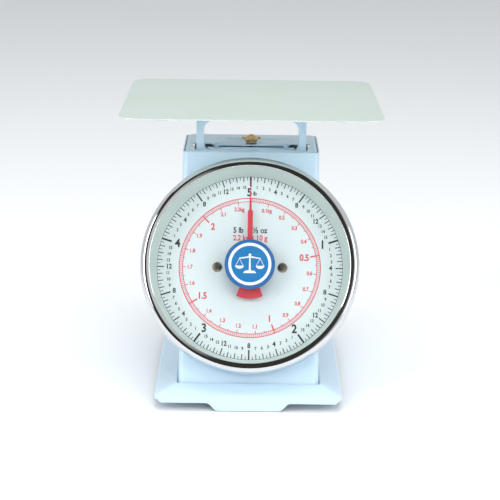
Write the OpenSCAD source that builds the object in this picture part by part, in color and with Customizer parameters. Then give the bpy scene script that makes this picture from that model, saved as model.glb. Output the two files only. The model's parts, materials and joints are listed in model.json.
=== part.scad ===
// Table-top dial spring scale with a flat tray. Millimetres, +Z up, dial facing -Y.
// The origin lies on the table, under the middle of the whole scale.

/* [Tray] */
// Width of the tray
tray_w = 238; // [200:1:260]
// Depth of the tray
tray_d = 220; // [190:1:240]
// Sheet thickness of the tray
tray_t = 1.5; // [1:0.1:2]
// Corner radius of the tray
tray_r = 18; // [6:1:25]
// Height of the tray's top face above the table
tray_top = 260; // [255:0.5:262]
// Distance from the origin back to the middle of the tray
tray_y = 19; // [10:1:25]

/* [Base] */
// Width of the base over its lips
base_w = 170; // [166:1:190]
// Depth of the base over its lips
base_d = 222; // [216:1:240]
// Distance from the origin forward to the middle of the base
base_y = 18; // [16:0.5:20]
// Height of the lip's lower edge above the table
lip_z = 8; // [6:0.5:9]
// Height of the vertical lip
lip_h = 6; // [4:0.5:8]
// Rise of the sloped border above the lip
slope_rise = 7; // [5:0.5:9]
// Depth of the recess that the housing stands in
recess = 3; // [2:0.5:4]
// Thickness of the sheet steel
sheet = 1.2; // [0.8:0.1:1.5]

/* [Housing] */
// Width of the housing
body_w = 128; // [126:1:130]
// Height of the housing's top above the table
body_top = 215; // [212:0.5:216]
// Lean of the front face and dial back from the vertical
tilt = 25.5; // [25:0.5:26]
// Distance from the origin forward to the foot of the front face
face_foot = 109; // [108:0.5:110]
// Distance from the origin back to the back of the housing
body_back = 71; // [69:0.5:73]
// Radius of the upright bends at the back of the housing
back_r = 8; // [4:0.5:9]

/* [Dial] */
// Distance up the front face from its foot to the dial's centre
dial_up = 105.5; // [104:0.5:108]
// Outer radius of the bezel
bezel_r = 100; // [98:0.1:102]
// Radius of the bezel's opening
opening_r = 90.9; // [90:0.1:91.4]
// Radius of the drum's wall
drum_r = 94; // [93.5:0.1:94.5]
// Height of the bezel's crown above the front face
crown = 27; // [26:0.5:28]
// Radius of the printed part of the dial
dial_r = 86.2; // [85:0.1:87]
// Height of the dial's face above the front face
dial_h = 3; // [2.5:0.1:3.5]
// Radius of the round cap in the middle
cap_r = 23; // [20:0.5:25]

/* [Mechanism] */
// Module of the rack and pinion
gear_m = 0.6; // [0.6]
// Teeth on the pinion
pinion_teeth = 10; // [10]
// Distance from the middle to each lifting post
post_x = 48.2; // [47:0.2:49]
// Length of the two parallel links between pivots
link_len = 52; // [50:1:54]
// Height of the upper link's fixed pivot
upper_z = 175; // [170:1:178]
// Height of the lower link's fixed pivot
lower_z = 55; // [53:1:60]
// Outer radius of each main spring
spring_r = 6; // [5:0.5:7]
// Wire radius of each main spring
wire_r = 0.8; // [0.6:0.1:1]
// Turns in each main spring
spring_turns = 11; // [8:1:14]

/* [Hidden] */
$fn = 64;

// Colours
paint = "#B5D8EC";
steel = "#B9BEC2";
zinc = "#C9C7B8";
brass = "#B08D57";
chrome = "#D9DCDD";
rubber = "#2E2F31";
red = "#DC4650";

// Base
slope_top = lip_z + lip_h + slope_rise;
land_z = slope_top - recess;
run_x = 18.5;
run_y = 16.5;
tab_top_w = 76;
tab_foot_w = 55;
tab_foot_z = 0.6;
foot_x = 58;
foot_y = 72;
chassis_screw_x = 24;
chassis_screws_y = [34, 58];
rear_screw_x = 50;
rear_screws_z = [40, 190];

// Front face and the travel of the mechanism
dial_y = -face_foot + dial_up * sin(tilt);
dial_z = slope_top + dial_up * cos(tilt);
pitch_r = gear_m * pinion_teeth / 2;
rack_travel = 2 * PI * pitch_r;
travel = rack_travel * cos(tilt);
link_angle = asin(travel / 2 / link_len);

// Heights along the dial's axis, from the front face outwards
lens_z = 22;
lens_t = 2;
pointer_n = 8;
pointer_t = 0.8;
rack_n = -17;
rack_t = 3;
front_plate_n = -10;
rear_plate_n = -25;
plate_t = 1.5;
pin_up = 48;
dial_screw_x = 30;
spacer_x = 54;
drum_back_r = 48;
weight_r = 30;
weight_angle = 24;

// Mechanism places
hanger_y = 27;
hanger_z = 190;
spring_x = 18;
spring_bar_z = 88;
link_pivot_y = 57;
link_pin_y = link_pivot_y - link_len * (1 + cos(link_angle)) / 2;
pin_r = 2;
post_w = 7;
post_front = -1;
post_back = 11;
flare = 3;
fillet = 9;
post_foot = lower_z + travel / 2 - 6;
bar_z = 242;
bar_t = 10;
pin_y = dial_y - rack_n * cos(tilt) + pin_up * sin(tilt);
pin_z = dial_z + rack_n * sin(tilt) + pin_up * cos(tilt);
tray_bottom = tray_top - tray_t;
ear_x = 33;
spider_screw_x = 25;
spider_screw_y = 10;
knob_gap = 0.8;
knob_h = 8;
knob_bore = 5.2;
spider_z = bar_z + bar_t;
pad_x = 82;
pad_y = 70;

// Puts its children on the front face: X across, Y up the face, Z out along the dial's axis
module on_face() {
    translate([0, dial_y, dial_z]) rotate([90 - tilt, 0, 0]) children();
}

// Extrudes an outline drawn in the Y-Z plane along X, centred
module across(width) {
    rotate([90, 0, 90]) linear_extrude(width, center = true) children();
}

// Extrudes an outline drawn in the X-Z plane along Y, centred
module along(depth) {
    rotate([90, 0, 0]) linear_extrude(depth, center = true) children();
}

// A cylinder along X, centred on x
module x_rod(x, y, z, r, length) {
    translate([x, y, z]) rotate([0, 90, 0]) cylinder(r = r, h = length, center = true);
}

// A box from its lowest corner to its highest
module box(low, high) {
    translate(low) cube(high - low);
}

// A tube or ring from z = low to z = high
module ring(outer, inner, low, high) {
    translate([0, 0, low]) difference() {
        cylinder(r = outer, h = high - low);
        translate([0, 0, -1]) cylinder(r = inner, h = high - low + 2);
    }
}

// A screw with a domed head, pointing down, its head resting on z = 0
module dome_screw(head_r, head_h, shank_r, shank) {
    rotate_extrude() polygon(concat(
        [[0, -shank], [shank_r, -shank], [shank_r, 0], [head_r, 0]],
        [for (a = [15:15:90]) [head_r * cos(a), head_h * sin(a)]]
    ));
}

// Corners of a rectangle with round corners
function round_rect(w, d, r, n = 6) = [
    for (q = [0:3], i = [0:n])
        let (a = 90 * q + 90 * i / n, sx = (q == 0 || q == 3) ? 1 : -1, sy = q < 2 ? 1 : -1)
        [sx * (w / 2 - r) + r * cos(a), sy * (d / 2 - r) + r * sin(a)]
];

// ---------------------------------------------------------------- base

// The stepped skirt of the base, shrunk by t all round
module skirt(t, low, high) {
    half_w = base_w / 2 - t;
    half_d = base_d / 2 - t;
    top = slope_top - t;
    shoulder = lip_z + lip_h - t * 0.8;
    intersection() {
        along(base_d + 10) polygon([
            [-half_w, low], [half_w, low], [half_w, shoulder], [half_w - run_x, top],
            [-half_w + run_x, top], [-half_w, shoulder]
        ]);
        across(base_w + 10) polygon([
            [-half_d, low], [half_d, low], [half_d, shoulder], [half_d - run_y, top],
            [-half_d + run_y, top], [-half_d, shoulder]
        ]);
        translate([0, 0, low])
            linear_extrude(high - low) polygon(round_rect(2 * half_w, 2 * half_d, 7 - t));
    }
}

// Half of the outline of the tab that drops from the lip, with an S-curve side
function tab_side(sign, steps = 8) = [
    for (i = [0:steps])
        let (k = sign > 0 ? i / steps : 1 - i / steps)
        [sign * (tab_foot_w + (tab_top_w - tab_foot_w) * k) / 2,
         tab_foot_z + (lip_z - tab_foot_z) * (1 - cos(180 * k)) / 2]
];

module base() {
    color(paint) translate([0, -base_y, 0]) difference() {
        union() {
            difference() {
                skirt(0, lip_z, slope_top + 1);
                skirt(sheet, lip_z - 1, land_z - sheet);
                translate([0, 0, land_z]) linear_extrude(recess + 1) polygon(round_rect(
                    base_w - 2 * run_x - 2 * sheet, base_d - 2 * run_y - 2 * sheet, 3));
            }
            for (end = [-1, 1])
                translate([0, end * (base_d - sheet) / 2, 0]) along(sheet)
                    polygon(concat(tab_side(1), [[tab_top_w / 2, lip_z + 1],
                        [-tab_top_w / 2, lip_z + 1]], tab_side(-1)));
        }
        for (x = [-foot_x, foot_x], y = [-foot_y, foot_y])
            translate([x, y, 0]) cylinder(r = 2, h = 40);
        for (x = [-chassis_screw_x, chassis_screw_x], y = chassis_screws_y)
            translate([x, y + base_y, 0]) cylinder(r = 2, h = 40);
    }
}

module rubber_feet() {
    color(rubber) for (x = [-foot_x, foot_x], y = [-foot_y, foot_y])
        translate([x, y - base_y, 0]) difference() {
            cylinder(r1 = 8, r2 = 10, h = land_z - sheet);
            translate([0, 0, -1]) cylinder(r = 4.5, h = 6);
            translate([0, 0, 3]) cylinder(r = 2, h = 40);
        }
}

module foot_screws() {
    color(zinc) for (x = [-foot_x, foot_x], y = [-foot_y, foot_y])
        translate([x, y - base_y, 5]) rotate([180, 0, 0]) dome_screw(3.8, 2.2, 1.9, land_z - 3);
}

// ---------------------------------------------------------------- housing

// Side outline of the housing, from the height low to the height high
module side_outline(t, low, high, back) {
    polygon([
        for (z = [low, high]) [-face_foot + (z - slope_top) * tan(tilt) + t / cos(tilt), z],
        [back, high], [back, low]
    ]);
}

// Plan of the housing inside a wall of thickness t, with round corners at the back
module plan_outline(t, r) {
    half = body_w / 2 - t;
    back = body_back - t;
    polygon(concat(
        [[-half, -base_d], [half, -base_d]],
        arc([half - r, back - r], r, r, 0, 90), arc([r - half, back - r], r, r, 90, 180)
    ));
}

module housing_shell() {
    inner = body_w / 2 - sheet;
    color(paint) difference() {
        intersection() {
            across(body_w) side_outline(0, land_z, body_top, body_back);
            linear_extrude(body_top + 10) plan_outline(0, back_r);
        }
        intersection() {
            across(2 * inner) side_outline(sheet, land_z - 1, body_top + 1, body_back - 2.5);
            linear_extrude(body_top + 10) plan_outline(sheet, back_r - sheet);
        }
        box([4 - rear_screw_x, body_back - 4, land_z - 1], [rear_screw_x - 4, body_back + 1, body_top + 1]);
        box([back_r - body_w / 2, body_back - sheet - 0.1, land_z - 1],
            [body_w / 2 - back_r, body_back + 1, body_top + 1]);
        box([-inner, body_back - 4, body_top - 12], [inner, body_back + 1, body_top + 1]);
        on_face() {
            translate([0, 0, -4]) cylinder(r = drum_back_r, h = 8);
            for (x = [-spacer_x, spacer_x]) translate([x, 0, -4]) cylinder(r = 1.7, h = 8);
        }
        for (x = [-rear_screw_x, rear_screw_x], z = rear_screws_z)
            translate([x, body_back, z]) rotate([90, 0, 0]) cylinder(r = 1.6, h = 12, center = true);
    }
}

module rear_cover() {
    inner = body_w / 2 - back_r - 0.3;
    color(paint) difference() {
        box([-inner, body_back - sheet, land_z + 0.2], [inner, body_back, body_top - sheet - 0.3]);
        for (x = [-rear_screw_x, rear_screw_x], z = rear_screws_z)
            translate([x, body_back, z]) rotate([90, 0, 0]) cylinder(r = 1.7, h = 8, center = true);
    }
}

module rear_cover_screws() {
    color(zinc) for (x = [-rear_screw_x, rear_screw_x], z = rear_screws_z)
        translate([x, body_back, z]) rotate([-90, 0, 0]) dome_screw(3.4, 1.8, 1.5, 5);
}

// The slot that the lifting frame moves through: a bar with wider, slanted ends
module frame_slot() {
    polygon([
        [-52.6, -4.5], [52.6, -4.5], [56.5, 27], [38, 27], [36, 20], [-36, 20], [-38, 27], [-56.5, 27]
    ]);
}

module top_cover() {
    inner = body_w / 2 - sheet - 0.3;
    front = -face_foot + (body_top - slope_top) * tan(tilt) + sheet / cos(tilt) + 0.3;
    low = body_top - sheet;
    color(paint) difference() {
        union() {
            intersection() {
                box([-inner, front, low], [inner, body_back, body_top]);
                translate([0, body_back / 2 - 50, low - 1])
                    linear_extrude(5) polygon(round_rect(2 * inner, body_back + 100, back_r));
            }
            for (side = [-1, 1])
                translate([side * (inner - sheet / 2), 0, 0])
                    box([-sheet / 2, front + 3, body_top - 9], [sheet / 2, body_back - back_r - 1, low]);
        }
        translate([0, 0, body_top - 5]) linear_extrude(10) frame_slot();
        translate([0, hanger_y + 1, body_top - 5]) cylinder(r = 5.5, h = 10);
        box([-23, 47, body_top - 5], [23, 49.4, body_top + 5]);
        box([-9, front + 1.6, body_top - 5], [9, front + 4, body_top + 5]);
    }
}

// ---------------------------------------------------------------- dial

module dial_drum() {
    rim = bezel_r - sheet - 0.3;
    color(paint) on_face() difference() {
        rotate_extrude($fn = 128) polygon(concat(
            [[50, 0.05], [drum_r + 3, 0.05]],
            [for (a = [0:15:90]) [drum_r + 3 - 3 * sin(a), 4.4 - 4 * cos(a)]],
            [[drum_r, 17.6], [rim, 17.6], [rim, 18.8], [drum_r - sheet, 18.8],
             [drum_r - sheet, sheet], [50, sheet]]
        ));
        for (x = [-spacer_x, spacer_x]) translate([x, 0, -1]) cylinder(r = 4.2, h = 4);
    }
}

// Quarter of an ellipse from angle a0 to a1
function arc(c, rx, ry, a0, a1, n = 8) = [
    for (i = [0:n]) let (a = a0 + (a1 - a0) * i / n) [c[0] + rx * cos(a), c[1] + ry * sin(a)]
];

module bezel() {
    shoulder = 94.6;
    side_z = 19.5;
    lip = lens_z + lens_t + 0.3;
    band = crown - 0.7;
    color(chrome) on_face() rotate_extrude($fn = 128) polygon(concat(
        [[bezel_r, 13]],
        arc([shoulder, side_z], bezel_r - shoulder, crown - side_z, 0, 90),
        arc([opening_r + 0.7, band - 0.7], 0.7, 0.7, 90, 180, 4),
        [[opening_r, lip], [opening_r + sheet, lip], [opening_r + sheet, band - sheet]],
        arc([shoulder, side_z], bezel_r - shoulder - sheet, crown - side_z - sheet, 90, 0),
        [[bezel_r - sheet, 13]]
    ));
}

module lens() {
    color("#DDEEF2", 0.35) on_face() translate([0, 0, lens_z]) cylinder(r = 92.6, h = lens_t, $fn = 128);
}

module lens_gasket() {
    color(rubber) on_face() ring(93.6, opening_r + sheet + 0.3, lens_z + lens_t, lens_z + lens_t + 0.9);
}

module dial_surround() {
    color("#C3D1CC") on_face() rotate_extrude($fn = 128) polygon([
        [dial_r, dial_h], [dial_r + 1.2, dial_h], [92.6, 20.4], [92.6, lens_z],
        [opening_r + 0.2, lens_z], [opening_r + 0.2, 21]
    ]);
}

module hub_cap() {
    color("#1F83C6") on_face() rotate_extrude() polygon([
        [0, lens_z - 3], [cap_r - 0.8, lens_z - 3], [cap_r, lens_z - 2.2], [cap_r, lens_z - 0.5],
        [cap_r - 0.5, lens_z], [0, lens_z]
    ]);
}

module dial_plate() {
    color("#E6EDEE") on_face() difference() {
        translate([0, 0, dial_h - 0.8]) cylinder(r = dial_r + 2, h = 0.8, $fn = 128);
        translate([0, 0, dial_h - 2]) cylinder(r = 3.4, h = 4);
        for (x = [-dial_screw_x, dial_screw_x]) translate([x, 0, dial_h - 2]) cylinder(r = 1.7, h = 4);
    }
}

module dial_screws() {
    color(zinc) on_face() for (x = [-dial_screw_x, dial_screw_x])
        translate([x, 0, dial_h]) dome_screw(4.6, 2, 1.5, 5);
}

module dial_posts() {
    color(zinc) on_face() for (x = [-dial_screw_x, dial_screw_x]) translate([x, 0, 0])
        ring(3, 1.5, front_plate_n + plate_t, dial_h - 0.8);
}

// ---------------------------------------------------------------- movement

module front_movement_plate() {
    color(brass) on_face() difference() {
        box([-59, -13, front_plate_n], [59, 13, front_plate_n + plate_t]);
        translate([0, 0, front_plate_n - 1]) cylinder(r = 3, h = 4);
        for (x = [-spacer_x, spacer_x]) translate([x, 0, front_plate_n - 1]) cylinder(r = 1.5, h = 4);
    }
}

module rear_movement_plate() {
    color(brass) on_face() difference() {
        box([-22, -13, rear_plate_n], [22, 13, rear_plate_n + plate_t]);
        translate([0, 0, rear_plate_n - 1]) cylinder(r = 3, h = 4);
    }
}

module movement_pillars() {
    color(brass) on_face() for (x = [-18, 18], y = [-9, 9]) translate([x, y, rear_plate_n + plate_t])
        cylinder(r = 2.2, h = front_plate_n - rear_plate_n - plate_t);
}

module movement_spacers() {
    color(zinc) on_face() for (x = [-spacer_x, spacer_x]) translate([x, 0, 0])
        ring(3, 1.5, front_plate_n + plate_t, -sheet);
}

module movement_screws() {
    color(zinc) on_face() for (x = [-spacer_x, spacer_x])
        translate([x, 0, 0]) dome_screw(3.2, 1.6, 1.5, 10.5);
}

// A flanged bush through a plate whose outer face is at z = low
module bush(low) {
    color("#C49A5A") on_face() {
        ring(3, 1.56, low, low + plate_t);
        ring(4.2, 1.56, low - 0.8, low);
    }
}

module front_bush() {
    bush(front_plate_n);
}

module rear_bush() {
    bush(rear_plate_n);
}

module rack_guide() {
    color(brass) on_face()
        box([8.2, -12, rear_plate_n + plate_t], [12.2, -4, front_plate_n]);
}

module arbor() {
    color(steel) on_face() translate([0, 0, rear_plate_n - 1.5]) cylinder(r = 1.5, h = 38.5);
}

// Point on the involute of a circle, r away from its centre, on the side of a tooth
function involute_point(base_r, half, r) =
    let (t = sqrt(pow(r / base_r, 2) - 1), a = half - (t * 180 / PI - atan(t)))
    [r * cos(a), r * sin(a)];

// Outline of the pinion: each tooth has involute sides down to its root
function pinion_outline() =
    let (base_r = pitch_r * cos(20), tip = pitch_r + 0.45, root = pitch_r - 0.75,
         inv20 = tan(20) * 180 / PI - 20, half = 90 / pinion_teeth - 2.2 + inv20,
         radii = [for (i = [0:4]) base_r + (tip - base_r) * i / 4])
    [for (k = [0:pinion_teeth - 1]) each
        let (turn = 360 * k / pinion_teeth,
             side = concat([[root * cos(half), root * sin(half)]],
                           [for (r = radii) involute_point(base_r, half, r)]))
        concat(
            [for (p = side) [p[0] * cos(turn) + p[1] * sin(turn), p[0] * sin(turn) - p[1] * cos(turn)]],
            [for (i = [len(side) - 1:-1:0]) let (p = side[i])
                [p[0] * cos(turn) - p[1] * sin(turn), p[0] * sin(turn) + p[1] * cos(turn)]]
        )];

module pinion() {
    color(brass) on_face() translate([0, 0, rack_n - 2]) difference() {
        linear_extrude(4) polygon(pinion_outline());
        translate([0, 0, -1]) cylinder(r = 1.5, h = 6);
    }
}

// Outline of the rack: its teeth point at the pinion, with a space at the pinion's centre line
function rack_outline() =
    let (pitch = PI * gear_m, tip = pitch_r - 0.33, root = pitch_r + 0.75, flank = tan(20),
         tooth = pitch * 0.22)
    concat(
        [for (k = [12:-1:-4]) each let (y = (k + 0.5) * pitch)
            [[root, y + tooth + 0.75 * flank], [tip, y + tooth - 0.33 * flank],
             [tip, y - tooth + 0.33 * flank], [root, y - tooth - 0.75 * flank]]],
        [[root, -28], [8, -28], [8, pin_up + 4], [root, pin_up + 4]]
    );

module rack() {
    color(brass) on_face() difference() {
        translate([0, 0, rack_n - rack_t / 2]) linear_extrude(rack_t) polygon(rack_outline());
        translate([0, pin_up, rack_n]) rotate([0, 90, 0]) cylinder(r = 1, h = 30, center = true);
    }
}

module rack_pin() {
    color(steel) x_rod((pitch_r + 0.75 + 13) / 2, pin_y, pin_z, 1, 13 - pitch_r - 0.75);
}

module pointer() {
    color(red) on_face() translate([0, 0, pointer_n]) difference() {
        union() {
            linear_extrude(pointer_t) polygon([
                [-2.3, 0], [-2.3, 51], [-1, 54], [-0.9, 63], [-0.35, 65], [-0.25, 81],
                [0.25, 81], [0.35, 65], [0.9, 63], [1, 54], [2.3, 51], [2.3, 0]
            ]);
            linear_extrude(pointer_t) polygon(concat([[0, 0]], [for (i = [-1:0.2:1])
                weight_r * [sin(weight_angle * i), -cos(weight_angle * i)]]));
            cylinder(r = 6, h = pointer_t);
        }
        translate([0, 0, -1]) cylinder(r = 2.5, h = 4);
    }
}

module pointer_hub() {
    color(brass) on_face() {
        ring(2.5, 1.5, 6.5, 11.5);
        ring(4, 2.5, 8.8, 10.5);
    }
}

// ---------------------------------------------------------------- chassis and springs

module chassis_frame() {
    color(steel) difference() {
        union() {
            box([-32, 64, land_z], [32, 66, 203]);
            for (side = [-1, 1]) translate([side * 31, 0, 0]) box([-1, 47, land_z], [1, 64, 203]);
            box([-12, 20.5, 200], [12, 64, 203]);
            box([-32, 24, land_z], [32, 64, land_z + 2]);
        }
        for (z = [upper_z, lower_z]) x_rod(0, link_pivot_y, z, pin_r, 80);
        translate([0, hanger_y, hanger_z]) cylinder(r = 2.1, h = 20);
        for (x = [-chassis_screw_x, chassis_screw_x], y = chassis_screws_y)
            translate([x, y, 0]) cylinder(r = 1.9, h = 40);
    }
}

module chassis_screws() {
    color(zinc) for (x = [-chassis_screw_x, chassis_screw_x], y = chassis_screws_y)
        translate([x, y, land_z - sheet]) rotate([180, 0, 0]) dome_screw(3.5, 2, 1.9, 5);
}

module link_pivot_pins() {
    color(steel) for (z = [upper_z, lower_z]) x_rod(0, link_pivot_y, z, pin_r, 76);
}

// A parallel link: two arms that reach forward and up from the pivot, tied by a web
module link(z) {
    color(zinc) translate([0, link_pivot_y, z]) rotate([-link_angle, 0, 0]) difference() {
        union() {
            for (side = [-1, 1]) {
                translate([side * 34, -link_len / 2, 0]) cube([2, link_len, 7], center = true);
                x_rod(side * 34, 0, 0, 3.5, 2);
                x_rod(side * 34, -link_len, 0, 3.5, 2);
            }
            box([-34, -22, -3], [34, -15, -1.5]);
        }
        x_rod(0, 0, 0, pin_r + 0.05, 90);
        translate([0, -link_len, 0]) cube([90, 1.2, 2 * pin_r + 0.2], center = true);
        for (end = [-0.6, 0.6]) x_rod(0, -link_len + end, 0, pin_r + 0.1, 90);
    }
}

module upper_link() {
    link(upper_z);
}

module lower_link() {
    link(lower_z);
}

// Stations along a main spring's wire, as [point, angle]: a straight lead, the coil, and a straight lead
function spring_path(n = 12) =
    let (low = spring_bar_z + 12, high = hanger_z - 8, steps = spring_turns * n, r = spring_r - wire_r)
    concat(
        [[[0, 0, spring_bar_z - 1.5], 0], [[0, 0, low - 3], 0]],
        [for (i = [0:steps]) let (a = 360 * i / n)
            [[r * cos(a), r * sin(a), low + (high - low) * i / steps], a]],
        [[[0, 0, high + 3], 0], [[0, 0, hanger_z + 5], 0]]
    );

// A wire swept along the stations, with six sides that keep one side towards the coil's axis
module wire(path, r, sides = 6) {
    last = len(path) - 1;
    points = [for (i = [0:last])
        let (d = path[min(i + 1, last)][0] - path[max(i - 1, 0)][0], t = d / norm(d),
             across = cross(t, [cos(path[i][1]), sin(path[i][1]), 0]),
             u = across / norm(across), v = cross(t, u))
        for (k = [0:sides - 1])
            path[i][0] + r * cos(360 * k / sides) * u + r * sin(360 * k / sides) * v];
    polyhedron(points = points, faces = concat(
        [[for (k = [0:sides - 1]) k]],
        [for (i = [0:last - 1], k = [0:sides - 1]) each
            let (a = i * sides, b = a + sides, n = (k + 1) % sides)
            [[a + k, b + k, b + n], [a + k, b + n, a + n]]],
        [[for (k = [sides - 1:-1:0]) last * sides + k]]
    ));
}

module left_spring() {
    color(steel) translate([-spring_x, hanger_y, 0]) wire(spring_path(), wire_r);
}

module right_spring() {
    color(steel) translate([spring_x, hanger_y, 0]) wire(spring_path(), wire_r);
}

module travel_stops() {
    color(rubber) for (side = [-1, 1]) translate([side * post_x, (post_front + post_back) / 2, land_z])
        cylinder(r1 = 7, r2 = 5, h = post_foot - travel - 0.8 - land_z);
}

// ---------------------------------------------------------------- lifting frame

module post(side) {
    half = post_w / 2;
    depth = post_back - post_front;
    color(paint) translate([side * post_x, 0, 0]) difference() {
        union() {
            box([-half, post_front, post_foot], [half, post_back, bar_z]);
            translate([-side * half, (post_front + post_back) / 2, 0]) {
                along(depth) polygon([
                    [0, 205], [-side * flare, 208], [-side * flare, 213.5], [-side * flare * 0.4, 217],
                    [0, 222]
                ]);
                along(depth) polygon(concat([[0, bar_z]], [for (a = [0:15:90])
                    [-side * fillet * (1 - sin(a)), bar_z - fillet * (1 - cos(a))]]));
            }
        }
        for (z = [upper_z, lower_z]) x_rod(0, link_pin_y, z + travel / 2, pin_r, 30);
    }
}

module left_post() {
    post(-1);
}

module right_post() {
    post(1);
}

module top_bar() {
    color(paint) difference() {
        box([-post_x - post_w / 2, post_front, bar_z], [post_x + post_w / 2, post_back + 12, bar_z + bar_t]);
        box([-post_x + 2, post_front - 1, bar_z - 1], [post_x - 2, post_back + 13, bar_z + bar_t - 2]);
    }
}

module cross_channel() {
    inner = post_x - post_w / 2 - flare;
    color(paint) difference() {
        union() {
            box([-inner, -3.5, 208], [inner, 19, 213]);
            for (side = [-1, 1]) translate([side * ear_x, 18.4, 0]) along(1.2) polygon(concat(
                [[-2.4, 212], [2.4, 212]],
                [for (a = [0:30:180]) [1.2 * sign(cos(a)) + 1.2 * cos(a), 215.8 + 1.4 * sin(a)]]
            ));
        }
        box([-inner + 9, -2, 211.5], [inner - 9, 17.2, 214]);
        for (side = [-1, 1]) translate([side * 36, 0, 0]) box([-2.6, -5, 200], [2.6, 15, 220]);
    }
}

module drive_bar() {
    inner = post_x - post_w / 2;
    color(zinc) box([-inner, post_front, pin_z - 6], [inner, post_front + 3, pin_z + 6]);
}

module drive_arm() {
    low = pin_y - travel * tan(tilt);
    color(zinc) difference() {
        union() {
            box([9.4, low - 6, pin_z - 5], [11.4, post_front - 1.2, pin_z + 5]);
            box([2, post_front - 1.2, pin_z - 5], [20, post_front, pin_z + 5]);
        }
        translate([10.4, (low + pin_y) / 2, pin_z]) cube([6, pin_y - low, 2.3], center = true);
        for (y = [low, pin_y]) x_rod(10.4, y, pin_z, 1.15, 6);
        for (x = [5, 17]) translate([x, 0, pin_z]) rotate([90, 0, 0]) cylinder(r = 1.5, h = 9, center = true);
    }
}

module drive_arm_rivets() {
    color(steel) for (x = [5, 17])
        translate([x, post_front - 1.2, pin_z]) rotate([90, 0, 0]) dome_screw(2.6, 1.4, 1.5, 1.2);
}

module spring_bar() {
    inner = post_x - post_w / 2;
    color(zinc) difference() {
        box([-inner, 0, spring_bar_z], [inner, 33, spring_bar_z + 3]);
        for (side = [-1, 1])
            translate([side * spring_x, hanger_y, spring_bar_z - 1]) cylinder(r = 1.4, h = 5);
    }
}

module link_front_pins() {
    color(steel) for (side = [-1, 1], z = [upper_z, lower_z])
        x_rod(side * 41.5, link_pin_y, z + travel / 2, pin_r, 19);
}

module tray_spider() {
    color(paint) difference() {
        union() {
            box([-38, post_front, spider_z], [38, 40, spider_z + 2]);
            for (sx = [-1, 1], sy = [-1, 1]) {
                angle = atan2(sy * pad_y, sx * pad_x);
                translate([0, tray_y, spider_z]) rotate([0, 0, angle])
                    translate([15, -7, 0]) cube([norm([pad_x, pad_y]) - 15, 14, 2]);
                translate([sx * pad_x, tray_y + sy * pad_y, spider_z]) cylinder(r = 9, h = 2);
            }
        }
        for (x = [-spider_screw_x, spider_screw_x])
            translate([x, spider_screw_y, spider_z - 1]) cylinder(r = 2, h = 5);
    }
}

module spider_screws() {
    color(zinc) for (x = [-spider_screw_x, spider_screw_x])
        translate([x, spider_screw_y, spider_z + 2]) dome_screw(3.8, 2, 1.9, 2);
}

module tray_pads() {
    color(rubber) for (sx = [-1, 1], sy = [-1, 1])
        translate([sx * pad_x, tray_y + sy * pad_y, 0]) ring(7, 3, spider_z + 2, tray_bottom);
}

// ---------------------------------------------------------------- zero adjuster

module zero_knob() {
    body_h = knob_h * 0.8;
    color(brass) translate([0, hanger_y, body_top + knob_gap]) difference() {
        union() {
            cylinder(r = 4.4, h = body_h);
            for (k = [0:15]) rotate([0, 0, 22.5 * k])
                translate([4.4, 0, 0]) cylinder(r = 0.55, h = body_h - 1.5, $fn = 16);
            translate([0, 0, knob_h * 0.4]) linear_extrude(2.2)
                for (k = [0:4]) rotate([0, 0, 18 + 72 * k]) translate([0, -1.7]) square([9.6, 3.4]);
            translate([0, 0, body_h]) cylinder(r = 2.6, h = knob_h - body_h);
        }
        translate([0, 0, -1]) cylinder(r = 2, h = knob_bore + 1);
    }
}

module zero_screw() {
    low = hanger_z - 4;
    color(steel) translate([0, hanger_y, low])
        cylinder(r = 2, h = body_top + knob_gap + knob_bore - low);
}

module screw_collars() {
    color(steel) translate([0, hanger_y, 0]) {
        ring(4, 2, 197.8, 199.8);
        ring(4, 2, 203.2, 205.2);
    }
}

module spring_hanger() {
    color(zinc) difference() {
        box([-26, 21, hanger_z], [26, 33, hanger_z + 3]);
        translate([0, hanger_y, hanger_z - 1]) cylinder(r = 2.06, h = 5);
        for (side = [-1, 1])
            translate([side * spring_x, hanger_y, hanger_z - 1]) cylinder(r = 1.4, h = 5);
    }
}

// ---------------------------------------------------------------- tray

module tray() {
    color("#D2DAD2") translate([0, tray_y, tray_bottom])
        linear_extrude(tray_t) polygon(round_rect(tray_w, tray_d, tray_r, 8));
}

module tray_locators() {
    color(steel) for (sx = [-1, 1], sy = [-1, 1])
        translate([sx * pad_x, tray_y + sy * pad_y, tray_bottom - 3]) cylinder(r = 2.5, h = 3);
}

base();
rubber_feet();
foot_screws();
housing_shell();
rear_cover();
rear_cover_screws();
top_cover();
dial_drum();
bezel();
lens();
lens_gasket();
dial_surround();
hub_cap();
dial_plate();
dial_screws();
dial_posts();
front_movement_plate();
rear_movement_plate();
movement_pillars();
movement_spacers();
movement_screws();
front_bush();
rear_bush();
rack_guide();
chassis_frame();
chassis_screws();
link_pivot_pins();
left_spring();
right_spring();
travel_stops();
arbor();
pinion();
pointer();
pointer_hub();
rack();
rack_pin();
left_post();
right_post();
top_bar();
cross_channel();
drive_bar();
drive_arm();
drive_arm_rivets();
spring_bar();
link_front_pins();
tray_spider();
spider_screws();
tray_pads();
upper_link();
lower_link();
zero_knob();
zero_screw();
screw_collars();
spring_hanger();
tray();
tray_locators();
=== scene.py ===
"""Looks of a table-top dial spring scale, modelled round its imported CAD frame.

Sizes are in millimetres in the classes below and become metres when a mesh is made.
Pieces on the dial are modelled flat, with X across, Y up the dial and Z out of it,
and are then laid on the leaning front face.
"""

import json
import logging
import math
from collections.abc import Callable, Iterator, Sequence
from contextlib import contextmanager
from dataclasses import dataclass, field
from enum import Enum

import bmesh
import bpy
from mathutils import Matrix, Vector


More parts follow.
